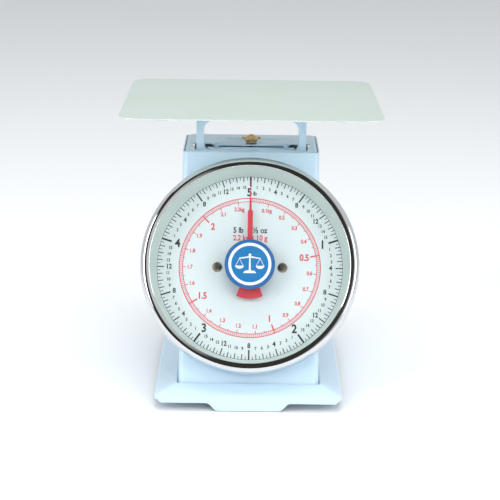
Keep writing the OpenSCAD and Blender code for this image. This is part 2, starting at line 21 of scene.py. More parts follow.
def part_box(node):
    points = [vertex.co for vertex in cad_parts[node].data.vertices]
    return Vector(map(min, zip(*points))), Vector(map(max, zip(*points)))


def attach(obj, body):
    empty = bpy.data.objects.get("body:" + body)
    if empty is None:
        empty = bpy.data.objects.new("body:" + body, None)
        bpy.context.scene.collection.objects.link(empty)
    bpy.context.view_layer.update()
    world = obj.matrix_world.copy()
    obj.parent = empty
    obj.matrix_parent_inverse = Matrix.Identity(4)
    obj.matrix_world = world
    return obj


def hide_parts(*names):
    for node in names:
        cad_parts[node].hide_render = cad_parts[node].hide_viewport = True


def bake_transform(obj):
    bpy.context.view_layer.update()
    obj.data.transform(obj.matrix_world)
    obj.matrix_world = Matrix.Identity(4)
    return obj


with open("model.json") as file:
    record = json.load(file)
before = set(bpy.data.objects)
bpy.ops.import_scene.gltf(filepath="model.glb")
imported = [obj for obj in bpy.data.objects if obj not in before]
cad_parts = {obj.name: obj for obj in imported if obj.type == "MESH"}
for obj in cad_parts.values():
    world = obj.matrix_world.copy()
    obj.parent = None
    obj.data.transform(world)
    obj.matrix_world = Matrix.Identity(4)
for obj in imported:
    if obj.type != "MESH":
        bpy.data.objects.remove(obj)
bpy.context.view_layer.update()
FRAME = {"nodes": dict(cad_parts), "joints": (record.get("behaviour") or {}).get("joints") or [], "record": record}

MM = 0.001
POLE_R = 0.0005
LOG = logging.getLogger("scale")

Point = tuple[float, float]


# ---------------------------------------------------------------- finishes


def srgb(code: str) -> tuple[float, float, float, float]:
    """Turns an sRGB hex colour into linear red, green, blue and alpha.

    Args:
        code: Six hex digits, such as "A0C8E0".

    Returns:
        The linear colour, with an alpha of 1.
    """
    parts = [int(code[i : i + 2], 16) / 255 for i in (0, 2, 4)]
    linear = [p / 12.92 if p <= 0.04045 else ((p + 0.055) / 1.055) ** 2.4 for p in parts]
    return (linear[0], linear[1], linear[2], 1.0)


def add_node(
    tree: bpy.types.NodeTree, kind: str, inputs: dict | None = None, **settings: object
) -> bpy.types.Node:
    """Adds a node, sets its properties, and sets or links its inputs.

    Args:
        tree: The tree that the node goes into.
        kind: The node's type name.
        inputs: Socket name or index to a value, or to the output that feeds it.
        **settings: Properties of the node.

    Returns:
        The new node.
    """
    node = tree.nodes.new(kind)
    for name, value in settings.items():
        setattr(node, name, value)
    for key, value in (inputs or {}).items():
        if isinstance(value, bpy.types.NodeSocket):
            tree.links.new(value, node.inputs[key])
        else:
            node.inputs[key].default_value = value
    return node


class Grain(Enum):
    """How the fine pattern of a surface runs: its stretch along X, Y and Z."""

    EVEN = (1.0, 1.0, 1.0)
    ALONG_X = (0.02, 1.0, 1.0)


@dataclass(frozen=True)
class Finish:
    """A surface finish: two close shades that drift over the piece, gloss and fine relief.

    Attributes:
        name: The real material's name.
        colour: sRGB hex colour of most of the surface.
        shade: sRGB hex colour that it drifts towards.
        drift: Size of the colour's drift, in millimetres.
        rough: Lowest and highest roughness.
        grain: Size of the fine relief, in millimetres.
        relief: Height of the fine relief, in millimetres.
        run: How the fine relief runs.
        metallic: 1 for a metal.
        ior: Index of refraction, for what isn't a metal.
        coat: Weight of a clear coat over the colour.
    """

    name: str
    colour: str
    shade: str
    drift: float = 40.0
    rough: tuple[float, float] = (0.3, 0.4)
    grain: float = 2.0
    relief: float = 0.004
    run: Grain = Grain.EVEN
    metallic: float = 0.0
    ior: float = 1.5
    coat: float = 0.0

    def build(self) -> bpy.types.Material:
        """Makes the material, or returns the one made before."""
        found = bpy.data.materials.get(self.name)
        if found:
            return found
        material = bpy.data.materials.new(self.name)
        material.use_nodes = True
        tree = material.node_tree
        tree.nodes.clear()
        shader = self.shader(tree)
        add_node(tree, "ShaderNodeOutputMaterial", {"Surface": self.surface(tree, shader)})
        return material

    def shader(self, tree: bpy.types.NodeTree) -> bpy.types.Node:
        """Adds the Principled shader with its colour drift, roughness and relief."""
        coords = add_node(tree, "ShaderNodeTexCoord").outputs["Object"]
        slow = add_node(
            tree,
            "ShaderNodeTexNoise",
            {"Vector": coords, "Scale": 1 / (self.drift * MM), "Detail": 3.0},
        )
        colour = add_node(
            tree,
            "ShaderNodeMix",
            {0: slow.outputs["Fac"], 6: srgb(self.colour), 7: srgb(self.shade)},
            data_type="RGBA",
        )
        stretched = add_node(
            tree, "ShaderNodeMapping", {"Vector": coords, "Scale": self.run.value}
        ).outputs["Vector"]
        fine = add_node(
            tree,
            "ShaderNodeTexNoise",
            {"Vector": stretched, "Scale": 1 / (self.grain * MM), "Detail": 2.0},
        )
        gloss = add_node(
            tree,
            "ShaderNodeMapRange",
            {"Value": fine.outputs["Fac"], "To Min": self.rough[0], "To Max": self.rough[1]},
        )
        bump = add_node(
            tree,
            "ShaderNodeBump",
            {"Height": fine.outputs["Fac"], "Distance": self.relief * MM, "Strength": 1.0},
        )
        return add_node(
            tree,
            "ShaderNodeBsdfPrincipled",
            {
                "Base Color": colour.outputs[2],
                "Roughness": gloss.outputs["Result"],
                "Normal": bump.outputs["Normal"],
                "Metallic": self.metallic,
                "IOR": self.ior,
                "Coat Weight": self.coat,
                "Coat Roughness": 0.08,
            },
        )

    def surface(self, tree: bpy.types.NodeTree, shader: bpy.types.Node) -> bpy.types.NodeSocket:
        """Gives what the output shows: here the shader itself."""
        return shader.outputs["BSDF"]


@dataclass(frozen=True)
class ClearSheet(Finish):
    """A polished clear sheet that lamps shine through, so that what is behind it is lit."""

    def shader(self, tree: bpy.types.NodeTree) -> bpy.types.Node:
        """Adds a plain glass-clear Principled shader, with no relief to cloud the view."""
        return add_node(
            tree,
            "ShaderNodeBsdfPrincipled",
            {
                "Base Color": srgb(self.colour),
                "Roughness": 0.0,
                "IOR": self.ior,
                "Transmission Weight": 1.0,
            },
        )

    def surface(self, tree: bpy.types.NodeTree, shader: bpy.types.Node) -> bpy.types.NodeSocket:
        """Mixes in a transparent shader for the rays that carry light to what is behind."""
        path = add_node(tree, "ShaderNodeLightPath")
        clear = add_node(tree, "ShaderNodeBsdfTransparent", {"Color": (0.97, 0.98, 0.98, 1.0)})
        shown = shader.outputs["BSDF"]
        for kind in ("Is Shadow Ray", "Is Diffuse Ray"):
            mixed = add_node(
                tree,
                "ShaderNodeMixShader",
                {0: path.outputs[kind], 1: shown, 2: clear.outputs["BSDF"]},
            )
            shown = mixed.outputs["Shader"]
        return shown


# Stoved enamel on pressed steel: an even light blue gloss with a faint orange peel.
BLUE_ENAMEL = Finish(
    "stoved_blue_enamel", "BCD5E5", "C2D9E8", 60.0, (0.28, 0.32), 3.0, 0.0001, coat=0.25
)
# Rolled stainless sheet: a pale grey with a cool green cast and fine brushing along its width.
STAINLESS = Finish(
    "brushed_stainless", "CAD9CE", "D5DFDB", 90.0, (0.4, 0.5), 0.9, 0.001, Grain.ALONG_X, 0.55
)
# Chromium plate on spun brass: a bright mirror with hardly any texture.
CHROME = Finish("chromium_plate", "DDDEDF", "D2D4D6", 30.0, (0.05, 0.09), 3.0, 0.0008, metallic=1.0)
# Printed dial sheet: white satin enamel that hardly varies.
DIAL_ENAMEL = Finish("white_dial_enamel", "CCD7D9", "C8D3D5", 50.0, (0.42, 0.5), 1.0, 0.0006)
# Screen-printed ink: thin and satin, slightly uneven in strength.
BLACK_INK = Finish("black_printing_ink", "202326", "2B2E31", 6.0, (0.5, 0.6), 0.6, 0.0005)
RED_INK = Finish("red_printing_ink", "C83C48", "D04C57", 6.0, (0.5, 0.6), 0.6, 0.0005)
# Moulded polystyrene: a soft grey-green with a fine satin skin.
SURROUND = Finish("grey_green_styrene", "B6C6C1", "BECDC8", 30.0, (0.38, 0.48), 0.8, 0.001)
# Cast acrylic: clear and polished.
ACRYLIC = ClearSheet("cast_clear_acrylic", "FFFFFF", "FFFFFF", ior=1.49)
# Moulded ABS: a saturated gloss blue, with a darker rim and printed white marks.
CAP_BLUE = Finish("blue_abs", "0E6AA2", "126FA8", 12.0, (0.25, 0.32), 0.8, 0.0005)
CAP_RIM = Finish("blue_abs_rim", "205A94", "25609A", 12.0, (0.25, 0.32), 0.8, 0.0005)
CAP_WHITE = Finish("white_pad_print", "D8DEE2", "D2D8DC", 8.0, (0.35, 0.42), 0.8, 0.002)
# Red enamel on sheet aluminium: the pointer's satin coat.
RED_ENAMEL = Finish("red_pointer_enamel", "BE3340", "C23B48", 20.0, (0.36, 0.44), 1.2, 0.0008)
# Turned brass, a little dulled.
BRASS = Finish("turned_brass", "EBCB9C", "D6AC74", 5.0, (0.26, 0.4), 0.5, 0.001, metallic=1.0)
# Bright zinc plate: cloudy silver with a faint yellow passivation.
ZINC = Finish("bright_zinc_plate", "C4C3B9", "A9AAA6", 9.0, (0.3, 0.45), 0.7, 0.003, metallic=1.0)
# Screw heads in nickel that has gone brownish.
NICKEL = Finish("dull_nickel", "A79F90", "8D8478", 3.0, (0.25, 0.38), 0.5, 0.003, metallic=1.0)
# Drawn spring wire: dark silver with draw lines.
WIRE = Finish("drawn_spring_steel", "8D9194", "7A7E82", 6.0, (0.28, 0.4), 0.4, 0.003, metallic=1.0)
# Moulded rubber: black and matt with a fine pebble.
RUBBER = Finish("moulded_rubber", "2B2C2E", "343537", 10.0, (0.7, 0.85), 0.8, 0.02)
# Plain pale studio floor.
FLOOR = Finish("pale_floor", "F4F6F8", "F1F3F5", 400.0, (0.75, 0.85), 20.0, 0.0)

SLOT_FINISHES = {
    "blue_enamel": BLUE_ENAMEL,
    "stainless_sheet": STAINLESS,
    "chrome": CHROME,
    "dial_enamel": DIAL_ENAMEL,
    "surround_plastic": SURROUND,
    "clear_acrylic": ACRYLIC,
    "cap_plastic": CAP_BLUE,
    "pointer_enamel": RED_ENAMEL,
    "brass": BRASS,
    "zinc_plate": ZINC,
    "spring_steel": WIRE,
    "rubber": RUBBER,
}


# ---------------------------------------------------------------- workbench


class Part(Enum):
    """The parts of a mesh that can be picked."""

    POINTS = ("VERT", "verts")
    EDGES = ("EDGE", "edges")
    FACES = ("FACE", "faces")


def put_down() -> None:
    """Leaves edit mode and deselects everything."""
    if bpy.context.mode != "OBJECT":
        bpy.ops.object.mode_set(mode="OBJECT")
    bpy.ops.object.select_all(action="DESELECT")


def take(piece: bpy.types.Object) -> None:
    """Makes one piece the only selected and active one."""
    put_down()
    bpy.context.view_layer.objects.active = piece
    piece.select_set(True)


def primitive(kind: str, name: str, **settings: object) -> bpy.types.Object:
    """Adds a mesh primitive at the origin and names it.

    Args:
        kind: The primitive's name in bpy.ops.mesh, such as "cube".
        name: The piece's name.
        **settings: The operator's settings.

    Returns:
        The new object.
    """
    put_down()
    getattr(bpy.ops.mesh, f"primitive_{kind}_add")(**settings)
    piece = bpy.context.object
    piece.name = name
    piece.data.name = name
    return piece


@contextmanager
def editing(piece: bpy.types.Object) -> Iterator[None]:
    """Opens a piece in edit mode with all of it selected, and closes it again."""
    take(piece)
    bpy.ops.object.mode_set(mode="EDIT")
    bpy.ops.mesh.select_mode(type="VERT")
    bpy.ops.mesh.select_all(action="SELECT")
    yield
    bpy.ops.object.mode_set(mode="OBJECT")


def pick(piece: bpy.types.Object, part: Part, test: Callable[[object], bool]) -> int:
    """Selects, in edit mode, the parts of a mesh that pass a test.

    Args:
        piece: The piece in edit mode.
        part: Whether points, edges or faces are tested.
        test: Says whether one of them is picked.

    Returns:
        How many were picked.
    """
    mode, listed = part.value
    bpy.ops.mesh.select_mode(type=mode)
    bpy.ops.mesh.select_all(action="DESELECT")
    mesh = bmesh.from_edit_mesh(piece.data)
    chosen = [item for item in getattr(mesh, listed) if test(item)]
    for item in chosen:
        item.select_set(True)
    mesh.select_flush_mode()
    bmesh.update_edit_mesh(piece.data)
    return len(chosen)


def apply_modifier(piece: bpy.types.Object, kind: str, **settings: object) -> None:
    """Adds a modifier with its settings and applies it.

    Args:
        piece: The piece to change.
        kind: The modifier's type name.
        **settings: Properties of the modifier.
    """
    take(piece)
    modifier = piece.modifiers.new(kind.lower(), kind)
    for name, value in settings.items():
        setattr(modifier, name, value)
    bpy.ops.object.modifier_apply(modifier=modifier.name)


def soften(piece: bpy.types.Object, width: float, segments: int = 3, angle: float = 40.0) -> None:
    """Rounds every edge sharper than an angle.

    Args:
        piece: The piece to round.
        width: Width of the round, in millimetres.
        segments: Steps across the round.
        angle: Least angle of an edge that is rounded, in degrees.
    """
    apply_modifier(
        piece,
        "BEVEL",
        width=width * MM,
        segments=segments,
        limit_method="ANGLE",
        angle_limit=math.radians(angle),
    )


def thicken(piece: bpy.types.Object, sheet: float) -> None:
    """Gives an open shell a wall, inwards from its faces.

    Args:
        piece: The shell.
        sheet: Thickness of the wall, in millimetres.
    """
    apply_modifier(piece, "SOLIDIFY", thickness=sheet * MM, offset=-1, use_even_offset=True)


def cut(piece: bpy.types.Object, *cutters: bpy.types.Object) -> None:
    """Cuts each cutter's shape out of a piece and removes the cutters.

    Args:
        piece: The piece to cut.
        *cutters: The shapes to take away.
    """
    for cutter in cutters:
        apply_modifier(piece, "BOOLEAN", operation="DIFFERENCE", object=cutter, solver="EXACT")
        bpy.data.objects.remove(cutter)


def join(name: str, pieces: Sequence[bpy.types.Object]) -> bpy.types.Object:
    """Joins pieces into one object with a new name.

    Args:
        name: The new name.
        pieces: The pieces, of which the first one stays.

    Returns:
        The joined piece.
    """
    take(pieces[0])
    for piece in pieces[1:]:
        piece.select_set(True)
    if len(pieces) > 1:
        bpy.ops.object.join()
    pieces[0].name = name
    pieces[0].data.name = name
    return pieces[0]


def copy_of(piece: bpy.types.Object, name: str, place: Matrix) -> bpy.types.Object:
    """Copies a piece with its mesh.

    Args:
        piece: The piece to copy.
        name: The copy's name.
        place: Where the copy's mesh is moved to.

    Returns:
        The copy.
    """
    made = piece.copy()
    made.data = piece.data.copy()
    made.name = name
    bpy.context.scene.collection.objects.link(made)
    made.data.transform(place)
    return made


def repeat(name: str, model: bpy.types.Object, places: Sequence[Matrix]) -> bpy.types.Object:
    """Puts a copy of a model at each place, joins the copies and removes the model.

    Args:
        name: The joined piece's name.
        model: What is repeated.
        places: Where the copies go.

    Returns:
        The joined piece.
    """
    made = [copy_of(model, name, place) for place in places]
    bpy.data.objects.remove(model)
    return join(name, made)


def outwards(piece: bpy.types.Object) -> None:
    """Merges doubled points and turns all faces outwards."""
    with editing(piece):
        bpy.ops.mesh.remove_doubles(threshold=0.002 * MM)
        bpy.ops.mesh.select_all(action="SELECT")
        bpy.ops.mesh.normals_make_consistent(inside=False)


def turned(name: str, profile: Sequence[Point], segments: int = 64) -> bpy.types.Object:
    """Turns a piece as on a lathe: a ring is extruded from station to station round Z.

    Args:
        name: The piece's name.
        profile: Radius and height of each station. A radius of 0 is a pole. Where the
            last station repeats the first, the section is closed.
        segments: Sides of the ring.

    Returns:
        The turned piece.
    """
    stations = [(max(radius, POLE_R), height) for radius, height in profile]
    piece = primitive("circle", name, vertices=segments, radius=stations[0][0] * MM)
    with editing(piece):
        bpy.ops.transform.translate(value=(0, 0, stations[0][1] * MM))
        for (r0, z0), (r1, z1) in zip(stations, stations[1:]):
            bpy.ops.mesh.extrude_region()
            bpy.ops.transform.resize(value=(r1 / r0, r1 / r0, 1), center_override=(0, 0, 0))
            bpy.ops.transform.translate(value=(0, 0, (z1 - z0) * MM))
    outwards(piece)
    return piece


def plate(name: str, outline: Sequence[Point], low: float, high: float) -> bpy.types.Object:
    """Makes a flat plate: a ring is shaped to an outline, filled and extruded along Z.

    Args:
        name: The piece's name.
        outline: The corners, in order round the outline.
        low: Height of the lower face.
        high: Height of the upper face.

    Returns:
        The plate.
    """
    piece = primitive("circle", name, vertices=len(outline), radius=1.0)
    with editing(piece):
        mesh = bmesh.from_edit_mesh(piece.data)
        mesh.verts.ensure_lookup_table()
        for vertex, (x, y) in zip(mesh.verts, outline):
            vertex.co = (x * MM, y * MM, low * MM)
        bmesh.update_edit_mesh(piece.data)
        bpy.ops.mesh.edge_face_add()
        bpy.ops.mesh.extrude_region()
        bpy.ops.transform.translate(value=(0, 0, (high - low) * MM))
    outwards(piece)
    return piece


def raised(name: str, rings: Sequence[Sequence[Sequence[float]]]) -> bpy.types.Object:
    """Raises a shell: a ring is extruded from outline to outline, and the last one is filled.

    Args:
        name: The piece's name.
        rings: Outlines with the same number of points, each point with its x, y and z.

    Returns:
        The shell, open below.
    """
    piece = primitive("circle", name, vertices=len(rings[0]), radius=1.0)
    places = {i: i for i in range(len(rings[0]))}
    with editing(piece):
        for index, ring in enumerate(rings):
            if index:
                bpy.ops.mesh.extrude_region()
            mesh = bmesh.from_edit_mesh(piece.data)
            mesh.verts.index_update()
            for vertex in [v for v in mesh.verts if v.select]:
                if index:
                    others = [e.other_vert(vertex) for e in vertex.link_edges]
                    below = next(v for v in others if not v.select)
                    places[vertex.index] = places[below.index]
                vertex.co = Vector(ring[places[vertex.index]]) * MM
            bmesh.update_edit_mesh(piece.data)
        bpy.ops.mesh.edge_face_add()
        bpy.ops.mesh.select_all(action="SELECT")
        bpy.ops.mesh.normals_make_consistent(inside=False)
    return piece


def block(name: str, low: Sequence[float], high: Sequence[float]) -> bpy.types.Object:
    """Makes a box, to be shaped further or used as a cutter.

    Args:
        name: The piece's name.
        low: Its lowest corner.
        high: Its highest corner.

    Returns:
        The box.
    """
    piece = primitive("cube", name, size=1.0)
    size = [b - a for a, b in zip(low, high)]
    middle = [(a + b) / 2 for a, b in zip(low, high)]
    with editing(piece):
        bpy.ops.transform.resize(value=[s * MM for s in size])
        bpy.ops.transform.translate(value=[m * MM for m in middle])
    return piece


def drill(radius: float, low: float, high: float, place: Matrix | None = None) -> bpy.types.Object:
    """Makes a plain cylinder along Z that cuts a round hole.

    Args:
        radius: Radius of the hole.
        low: Height of its lower end.
        high: Height of its upper end.
        place: Where the cylinder's mesh is moved to, or None.

    Returns:
        The cutter.
    """
    piece = turned("cutter", [(0, low), (radius, low), (radius, high), (0, high)], 48)
    if place:
        piece.data.transform(place)
    return piece


def arc(
    centre: Point, rx: float, ry: float, start: float, end: float, steps: int = 8
) -> list[Point]:
    """Gives points along an ellipse.

    Args:
        centre: Its centre.
        rx: Its half width.
        ry: Its half height.
        start: Angle of the first point, in degrees.
        end: Angle of the last point, in degrees.
        steps: Steps between the two.

    Returns:
        The points, one more than the steps.
    """
    angles = [math.radians(start + (end - start) * i / steps) for i in range(steps + 1)]
    return [(centre[0] + rx * math.cos(a), centre[1] + ry * math.sin(a)) for a in angles]


def rounded(width: float, depth: float, radius: float, steps: int = 6) -> list[Point]:
    """Gives the outline of a rectangle with round corners, centred on the origin.

    Args:
        width: Its size along X.
        depth: Its size along Y.
        radius: Radius of its corners.
        steps: Steps in each corner.

    Returns:
        The outline, counterclockwise.
    """
    x, y = width / 2 - radius, depth / 2 - radius
    corners = [((x, y), 0), ((-x, y), 90), ((-x, -y), 180), ((x, -y), 270)]
    return [p for centre, a in corners for p in arc(centre, radius, radius, a, a + 90, steps)]


def about(axis: str, degrees: float) -> Matrix:
    """Gives a turn about one of the axes through the origin.

    Args:
        axis: "X", "Y" or "Z".
        degrees: How far it turns.

    Returns:
        The turn.
    """
    return Matrix.Rotation(math.radians(degrees), 4, axis)


def shift(x: float = 0, y: float = 0, z: float = 0) -> Matrix:
    """Gives a move, whose three distances are in millimetres."""
    return Matrix.Translation((x * MM, y * MM, z * MM))


def upright(y: float) -> Matrix:
    """Stands a flat piece up in the X-Z plane, with its underside at y, in millimetres."""
    return Matrix.Translation((0, y * MM, 0)) @ about("X", 90)


def dress(
    piece: bpy.types.Object,
    body: str,
    slot: str,
    finishes: Finish | Sequence[Finish] | None = None,
    replaces: Sequence[str] = (),
    smooth: float = 35.0,
) -> bpy.types.Object:
    """Finishes a piece: shading, material, the body that it rides on and what it stands for.

    Args:
        piece: The piece, its object at the origin.
        body: The CAD body that it moves with.
        slot: The record's material slot, whose finish it takes when none are given.
        finishes: Its finishes, or None for the slot's own.
        replaces: CAD nodes that it stands for.
        smooth: Greatest angle between faces that shade as one surface, in degrees.

    Returns:
        The piece.
    """
    take(piece)
    bpy.ops.object.shade_smooth_by_angle(angle=math.radians(smooth))
    if finishes is None:
        finishes = SLOT_FINISHES[slot]
    listed = [finishes] if isinstance(finishes, Finish) else list(finishes)
    if len(piece.data.materials) != len(listed):
        piece.data.materials.clear()
        for finish in listed:
            piece.data.materials.append(finish.build())
    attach(piece, body)
    if replaces:
        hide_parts(*replaces)
    LOG.info("%s: %d faces on %s", piece.name, len(piece.data.polygons), body)
    return piece


def face_place() -> Matrix:
    """Gives the place of the front face: its origin on the dial's axis, Z out of the dial."""
    joint = next(j for j in FRAME["joints"] if j["name"] == "pointer_turn")
    out = -Vector(joint["axis"])
    across = Vector((1, 0, 0))
    turn = Matrix((across, out.cross(across), out)).transposed().to_4x4()
    return Matrix.Translation(joint["pos_m"]) @ turn


FACE = face_place()


# ---------------------------------------------------------------- dial


@dataclass
class DialCase:
    """The drum, bezel, lens, gasket and surround that enclose the dial.

    Attributes:
        drum_r: Radius of the drum's wall.
        bezel_r: Outer radius of the bezel.
        opening_r: Radius of the bezel's opening.
        crown: Height of the bezel's crown above the front face.
        lens_low: Height of the lens's inner face.
        lens_high: Height of the lens's outer face.
        dial_r: Radius of the dial that shows inside the surround.
        dial_h: Height of the dial's face.
        sheet: Thickness of the drum's sheet.
        segments: Sides of the large turned pieces.
    """

    drum_r: float = 94.0
    bezel_r: float = 100.0
    opening_r: float = 90.9
    crown: float = 27.0
    lens_low: float = 22.0
    lens_high: float = 24.0
    dial_r: float = 86.2
    dial_h: float = 3.0
    sheet: float = 1.2
    segments: int = 160

    def drum(self) -> None:
        """Models the painted drum with its flared root, rim and open back."""
        r, t = self.drum_r, self.sheet
        section = [
            (50.0, 0.1),
            (r + 3.0, 0.1),
            *arc((r + 3, 4.4), 3, 4, 270, 180, 6),
            (r, 17.2),
            *arc((r + 0.6, 17.2), 0.6, 0.6, 180, 90, 3),
            (self.bezel_r - t - 0.4, 17.8),
            (self.bezel_r - t - 0.4, 18.7),
            (r - t + 0.4, 18.7),
            (r - t, 18.3),
            (r - t, t + 0.6),
            (r - t - 0.6, t),
            (50.0, t),
            (50.0, 0.1),
        ]
        piece = turned("dial_drum_shell", section, self.segments)
        cut(piece, *(drill(4.2, -2, 4, shift(x)) for x in (-54, 54)))
        piece.data.transform(FACE)
        dress(piece, "root", "blue_enamel", replaces=["dial_drum"])

    def bezel(self) -> None:
        """Models the rolled chrome bezel: a round shoulder, an inner band and a turned-in lip."""
        r, shoulder, side = self.bezel_r, 94.6, 19.5
        wide, tall, t = r - shoulder - 0.05, self.crown - side - 0.02, 1.0
        lip, band = self.lens_high + 0.3, self.crown - 0.7
        bend = self.opening_r + 0.7
        section = [
            (r - 0.2, 13.2),
            *arc((r - 0.9, 14.4), 0.9, 1.2, -60, 60, 5),
            (r - 0.6, 16.0),
            *arc((shoulder, side), wide, tall, 0, 84, 14),
            *arc((shoulder - 0.6, self.crown - 1.52), 1.5, 1.5, 84, 102, 3),
            *arc((bend, band - 0.7), 0.7, 0.7, 100, 180, 5),
            (self.opening_r, lip),
            (self.opening_r + t, lip),
            (self.opening_r + t, band - t),
            *arc((shoulder, side), wide - t, tall - t, 90, 0, 12),
            (r - 1.6, 16.0),
            (r - 1.5, 13.2),
            (r - 0.2, 13.2),
        ]
        piece = turned("bezel_ring", section, self.segments)
        piece.data.transform(FACE)
        dress(piece, "root", "chrome", replaces=["bezel"], smooth=50)

    def lens(self) -> None:
        """Models the clear lens with a small chamfer round its edge."""
        section = [
            (0, self.lens_low),
            (92.2, self.lens_low),
            (92.6, self.lens_low + 0.4),
            (92.6, self.lens_high - 0.4),
            (92.2, self.lens_high),
            (0, self.lens_high),
        ]
        piece = turned("lens_sheet", section, self.segments)
        piece.data.transform(FACE)
        dress(piece, "root", "clear_acrylic", replaces=["lens"])

    def gasket(self) -> None:
        """Models the round rubber cord between lens and bezel."""
        section = arc((93.0, self.lens_high + 0.45), 0.55, 0.44, 0, 360, 10)
        piece = turned("lens_gasket_ring", section, self.segments)
        piece.data.transform(FACE)
        dress(piece, "root", "rubber", replaces=["lens_gasket"])

    def surround(self) -> None:
        """Models the sloping grey-green surround between the dial's edge and the bezel."""
        r = self.dial_r
        section = [
            (r, self.dial_h + 0.02),
            (r + 0.15, self.dial_h + 0.9),
            (r + 0.5, self.dial_h + 1.4),
            (self.opening_r - 0.6, self.lens_low - 2.6),
            (self.opening_r + 0.1, self.lens_low - 1.0),
            (self.opening_r + 0.4, self.lens_low - 0.02),
            (92.5, self.lens_low - 0.02),
            (92.5, self.lens_low - 1.6),
            (r + 1.5, self.dial_h + 0.02),
            (r, self.dial_h + 0.02),
        ]
        piece = turned("surround_ring", section, self.segments)
        piece.data.transform(FACE)
        dress(piece, "root", "surround_plastic", replaces=["dial_surround"], smooth=60)

    def build(self) -> None:
        """Builds the whole case."""
        self.drum()
        self.bezel()
        self.lens()
        self.gasket()
        self.surround()


@dataclass
class Dial:
    """The dial plate with its two printed scales, screws, pointer and middle cap.

    Attributes:
        plate_r: Radius of the plate.
        face: Height of the plate's face above the front face.
        ink: Thickness that the print stands above the face.
        turn_lb: Pounds in one turn.
        ounces: Ounces in a pound.
        turn_kg: Kilograms in one turn.
        line_r: Radius of the outer scale's line.
        ring_r: Radius of the red ring's outer line.
        screw_x: Distance of each dial screw from the middle.
    """

    plate_r: float = 88.0
    face: float = 3.0
    ink: float = 0.05
    turn_lb: int = 5
    ounces: int = 16
    turn_kg: float = 2.268
    line_r: float = 85.4
    ring_r: float = 65.0
    screw_x: float = 30.0
    black: list = field(default_factory=list)
    red: list = field(default_factory=list)

    def sheet(self) -> None:
        """Models the dial plate with its hole for the arbor."""
        hole, under = 3.4, self.face - 0.8
        section = [
            (hole, under),
            (self.plate_r, under),
            (self.plate_r, self.face),
            (hole + 0.4, self.face),
            (hole, self.face - 0.2),
            (hole, under),
        ]
        piece = turned("dial_sheet", section, 160)
        piece.data.transform(FACE)
        dress(piece, "root", "dial_enamel", replaces=["dial_plate"])

    def ring(self, radius: float, width: float) -> bpy.types.Object:
        """Models a thin printed circle."""
        low, high = self.face, self.face + self.ink
        half = width / 2
        section = [
            (radius - half, low),
            (radius + half, low),
            (radius + half, high),
            (radius - half, high),
            (radius - half, low),
        ]
        return turned("ring", section, 160)

    def ticks(
        self,
        outer: float,
        length: float,
        width: float,
        first: float,
        step: float,
        count: int,
        lift: float = 0,
    ) -> bpy.types.Object:
        """Models evenly spaced printed ticks that point inwards.

        Args:
            outer: Radius at which the ticks start.
            length: Length of a tick.
            width: Width of a tick.
            first: Clockwise angle of the first tick from the top, in degrees.
            step: Angle between two ticks, in degrees.
            count: How many ticks there are.
            lift: How far they stand above the other print.

        Returns:
            The ticks as one object.
        """
        low, high = self.face, self.face + self.ink + lift
        piece = block("ticks", (-width / 2, outer - length, low), (width / 2, outer, high))
        piece.data.transform(about("Z", -first))
        if count > 1:
            with editing(piece):
                bpy.ops.mesh.spin(
                    steps=count - 1,
                    dupli=True,
                    angle=math.radians(step * (count - 1)),
                    center=(0, 0, 0),
                    axis=(0, 0, 1),
                )
        return piece

    def label(
        self, words: str, size: float, x: float, y: float, bold: float = 0.0
    ) -> bpy.types.Object:
        """Models one upright printed label.

        Args:
            words: What it says.
            size: Height of the letters' body.
            x: Middle of the label, across the dial.
            y: Middle of the label, up the dial.
            bold: How far the strokes are thickened.

        Returns:
            The label's mesh.
        """
        put_down()
        bpy.ops.object.text_add(location=(0, 0, 0))
        text = bpy.context.object
        text.data.body = words
        text.data.size = size * MM * 1.37
        text.data.align_x = "CENTER"
        text.data.align_y = "CENTER"
        text.data.resolution_u = 3
        text.data.extrude = self.ink / 2 * MM
        text.data.offset = bold * MM
        text.data.space_character = 0.95
        bpy.ops.object.convert(target="MESH")
        piece = bpy.context.object
        piece.data.transform(
            Matrix.Translation((x * MM, y * MM, (self.face + self.ink / 2) * MM))
            @ Matrix.Diagonal((0.9, 1, 1, 1))
        )
        return piece

    def around(self, angle: float, radius: float) -> Point:
        """Gives the place at a clockwise angle from the top and a radius."""
        a = math.radians(angle)
        return radius * math.sin(a), radius * math.cos(a)

    def ounce_scale(self) -> None:
        """Prints the outer scale: half ounces, ounces, their numbers and the pounds."""
        step = 360 / (self.turn_lb * self.ounces)
        pound = 360 / self.turn_lb
        total = self.turn_lb * self.ounces
        self.black += [
            self.ring(self.line_r, 0.4),
            self.ticks(self.line_r, 3.0, 0.6, step / 2, step, total),
            self.ticks(self.line_r, 4.9, 0.8, 0, step, total, 0.005),
            self.ticks(self.line_r, 6.6, 1.0, 0, step * 4, total // 4, 0.01),
            self.ticks(self.line_r, 9.2, 1.35, 0, step * 8, total // 8, 0.015),
            self.ticks(self.line_r, 9.4, 1.7, 0, pound, self.turn_lb, 0.02),
        ]
        for ounce in range(1, self.ounces):
            large = ounce % 4 == 0
            size = 4.6 if large else 3.0
            radius = (74.4 if ounce != 8 else 72.6) if large else 75.4
            model = self.label(str(ounce), size, 0, 0, 0.2 if large else 0.13)
            for whole in range(self.turn_lb):
                x, y = self.around(whole * pound + ounce * step, radius)
                self.black.append(copy_of(model, "number", shift(x, y)))
            bpy.data.objects.remove(model)
        for whole in range(1, self.turn_lb):
            x, y = self.around(whole * pound, 70.2)
            self.black.append(self.label(str(whole), 8.0, x, y, 0.3))
        self.black.append(self.label(str(self.turn_lb), 7.6, -1.0, 70.4, 0.3))
        self.black.append(self.label("lb", 3.8, 4.0, 69.4, 0.14))

